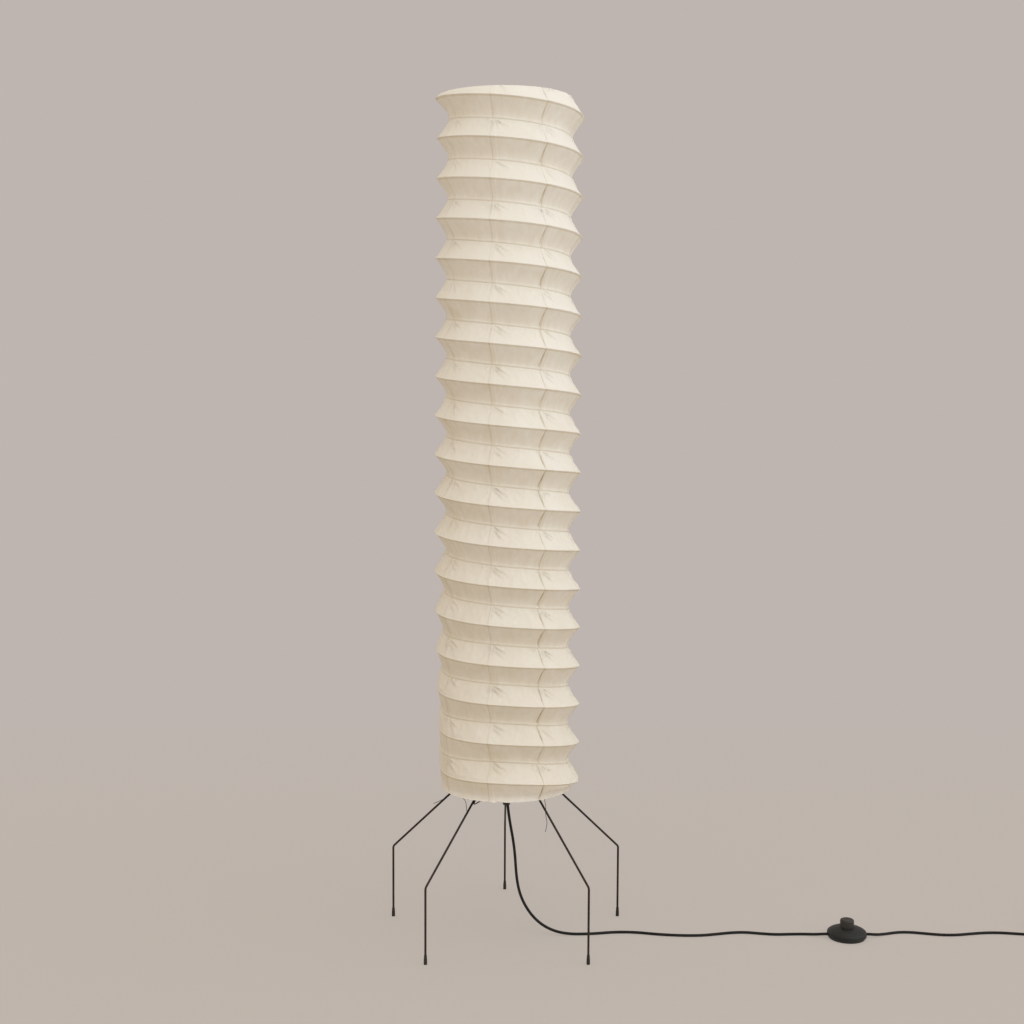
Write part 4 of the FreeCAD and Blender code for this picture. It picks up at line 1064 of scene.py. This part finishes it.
def screw_cap(name, centre, radius, foot, top, material, sides=64, rows=90):
    """A bulb's rolled cap: a helical round thread between a solder tip and a plain collar."""
    mesh = bmesh.new()
    rings = [[mesh.verts.new((centre.x, centre.y, foot))]]
    for row in range(rows + 1):
        height = (top - foot) * row / rows
        ring = []
        for side in range(sides):
            turn = math.tau * side / sides
            wave = 0.5 - 0.5 * math.cos(math.tau * height / THREAD_PITCH - turn)
            clear = min(height - THREAD_CLEAR, top - foot - THREAD_CLEAR - height)
            rolled = THREAD_DEEP * wave * min(1.0, max(0.0, clear / THREAD_CLEAR))
            tip = min(1.0, height / THREAD_CLEAR)
            out = (radius - rolled) * (SOLDER_SHARE + (1.0 - SOLDER_SHARE) * tip)
            x, y = centre.x + out * math.cos(turn), centre.y + out * math.sin(turn)
            ring.append(mesh.verts.new((x, y, foot + height)))
        rings.append(ring)
    rings.append([mesh.verts.new((centre.x, centre.y, top))])
    skin_rings(mesh, rings)
    return finished_piece(name, mesh, material, 60.0)


def bulb_outline(neck, ball, foot, top):
    """Half section of a bulb: the neck swells smoothly into the ball."""
    tall = top - foot
    middle = tall - ball
    outline = [(0.0, 0.0), (neck, 0.0)]
    for step in range(1, 15):
        share = step / 15
        swell = share * share * (3.0 - 2.0 * share)
        outline.append((neck + (ball - neck) * swell, middle * share))
    for step in range(19):
        turn = math.radians(90.0 * step / 18)
        outline.append((ball * math.cos(turn), middle + ball * math.sin(turn)))
    return outline


for place in ("lower", "upper"):
    finish_nodes(holder_plastic, f"holder_cap_{place}", f"holder_shell_{place}")
    cap_low, cap_high = (Vector(corner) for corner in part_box(f"bulb_cap_{place}"))
    glass_low, glass_high = (Vector(corner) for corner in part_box(f"bulb_glass_{place}"))
    middle = (cap_low + cap_high) / 2
    cap_radius = (cap_high.x - cap_low.x) / 2
    cap = screw_cap(f"screw_cap_{place}", middle, cap_radius, cap_low.z, cap_high.z, cap_metal)
    ball_radius = (glass_high.x - glass_low.x) / 2
    outline = bulb_outline(cap_radius, ball_radius, glass_low.z, glass_high.z)
    bulb = turned_piece(
        f"coated_bulb_{place}", outline, (middle.x, middle.y, glass_low.z), bulb_glass
    )
    for piece, node, slot in ((cap, "bulb_cap", "bulb_cap_metal"), (bulb, "bulb_glass", "bulb_glass")):
        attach(piece, "stand")
        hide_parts(f"{node}_{place}")

# ---------------------------------------------------------------- stage and light
# A pale floor that runs up into a pale wall. The camera sees the wall in one even colour and the near
# floor with a faint shadow. The light is one wide soft glow, brightest from the right and the front.
floor_color = (0.58, 0.527, 0.482)
wall_seen, floor_seen = (0.515, 0.462, 0.434), (0.522, 0.470, 0.424)
floor_front, floor_back, wall_curve, wall_top, half_width = -4.0, 1.6, 1.4, 6.0, 6.0
stage_mesh = bmesh.new()
profile = [(floor_front, 0.0), (floor_back, 0.0)]
for degrees in range(5, 91, 5):
    rise = math.radians(degrees)
    along, up = wall_curve * math.sin(rise), wall_curve * (1.0 - math.cos(rise))
    profile.append((floor_back + along, up))
profile.append((floor_back + wall_curve, wall_top))
sides = (-half_width, half_width)
floor_rows = [[stage_mesh.verts.new((x, y, z)) for x in sides] for y, z in profile]
for low, high in zip(floor_rows, floor_rows[1:]):
    stage_mesh.faces.new((low[0], low[1], high[1], high[0]))
floor_data = bpy.data.meshes.new("floor")
stage_mesh.to_mesh(floor_data)
stage_mesh.free()
floor = in_scene("floor", floor_data)
floor_data.shade_smooth()


def blended(tree, share, first, second, output):
    """Mix two shaders by a share and hand the mix to the tree's output node."""
    blend = tree.nodes.new("ShaderNodeMixShader")
    for part, socket in zip((share, first.outputs[0], second.outputs[0]), blend.inputs):
        tree.links.new(part, socket)
    tree.links.new(blend.outputs[0], tree.nodes[output].inputs["Surface"])


backdrop, backdrop_tree, backdrop_shader = new_material("backdrop", floor_color, 0.95)
_, depth_back, _ = split_direction(backdrop_tree, "Object")
far = depth_back.between(0.2, 1.9)
glow = backdrop_tree.nodes.new("ShaderNodeEmission")
tint(backdrop_tree, glow, far, floor_seen, wall_seen, "Color")
path = backdrop_tree.nodes.new("ShaderNodeLightPath")
seen = Field(backdrop_tree, path.outputs["Is Camera Ray"])
for ray in ("Is Glossy Ray", "Is Transmission Ray"):
    seen = seen.maths("MAXIMUM", Field(backdrop_tree, path.outputs[ray]))
shown = seen * (far * 0.35 + 0.65)
blended(backdrop_tree, shown.socket, backdrop_shader, glow, "Material Output")
floor_data.materials.append(backdrop)

world = bpy.data.worlds.new("studio")
world.use_nodes = True
world_tree = world.node_tree
east, north, up = split_direction(world_tree, "Generated")
facing = (east * 0.80 + north * -0.52 + up * 0.30).between(-0.35, 1.0)
sky = world_tree.nodes["Background"]
tint(world_tree, sky, facing * facing, (0.57, 0.515, 0.445), (0.98, 1.0, 1.03), "Color")
sky.inputs["Strength"].default_value = 1.38
beyond = world_tree.nodes.new("ShaderNodeBackground")
beyond.inputs["Color"].default_value = (*wall_seen, 1.0)
world_path = world_tree.nodes.new("ShaderNodeLightPath")
blended(world_tree, world_path.outputs["Is Camera Ray"], sky, beyond, "World Output")
bpy.context.scene.world = world
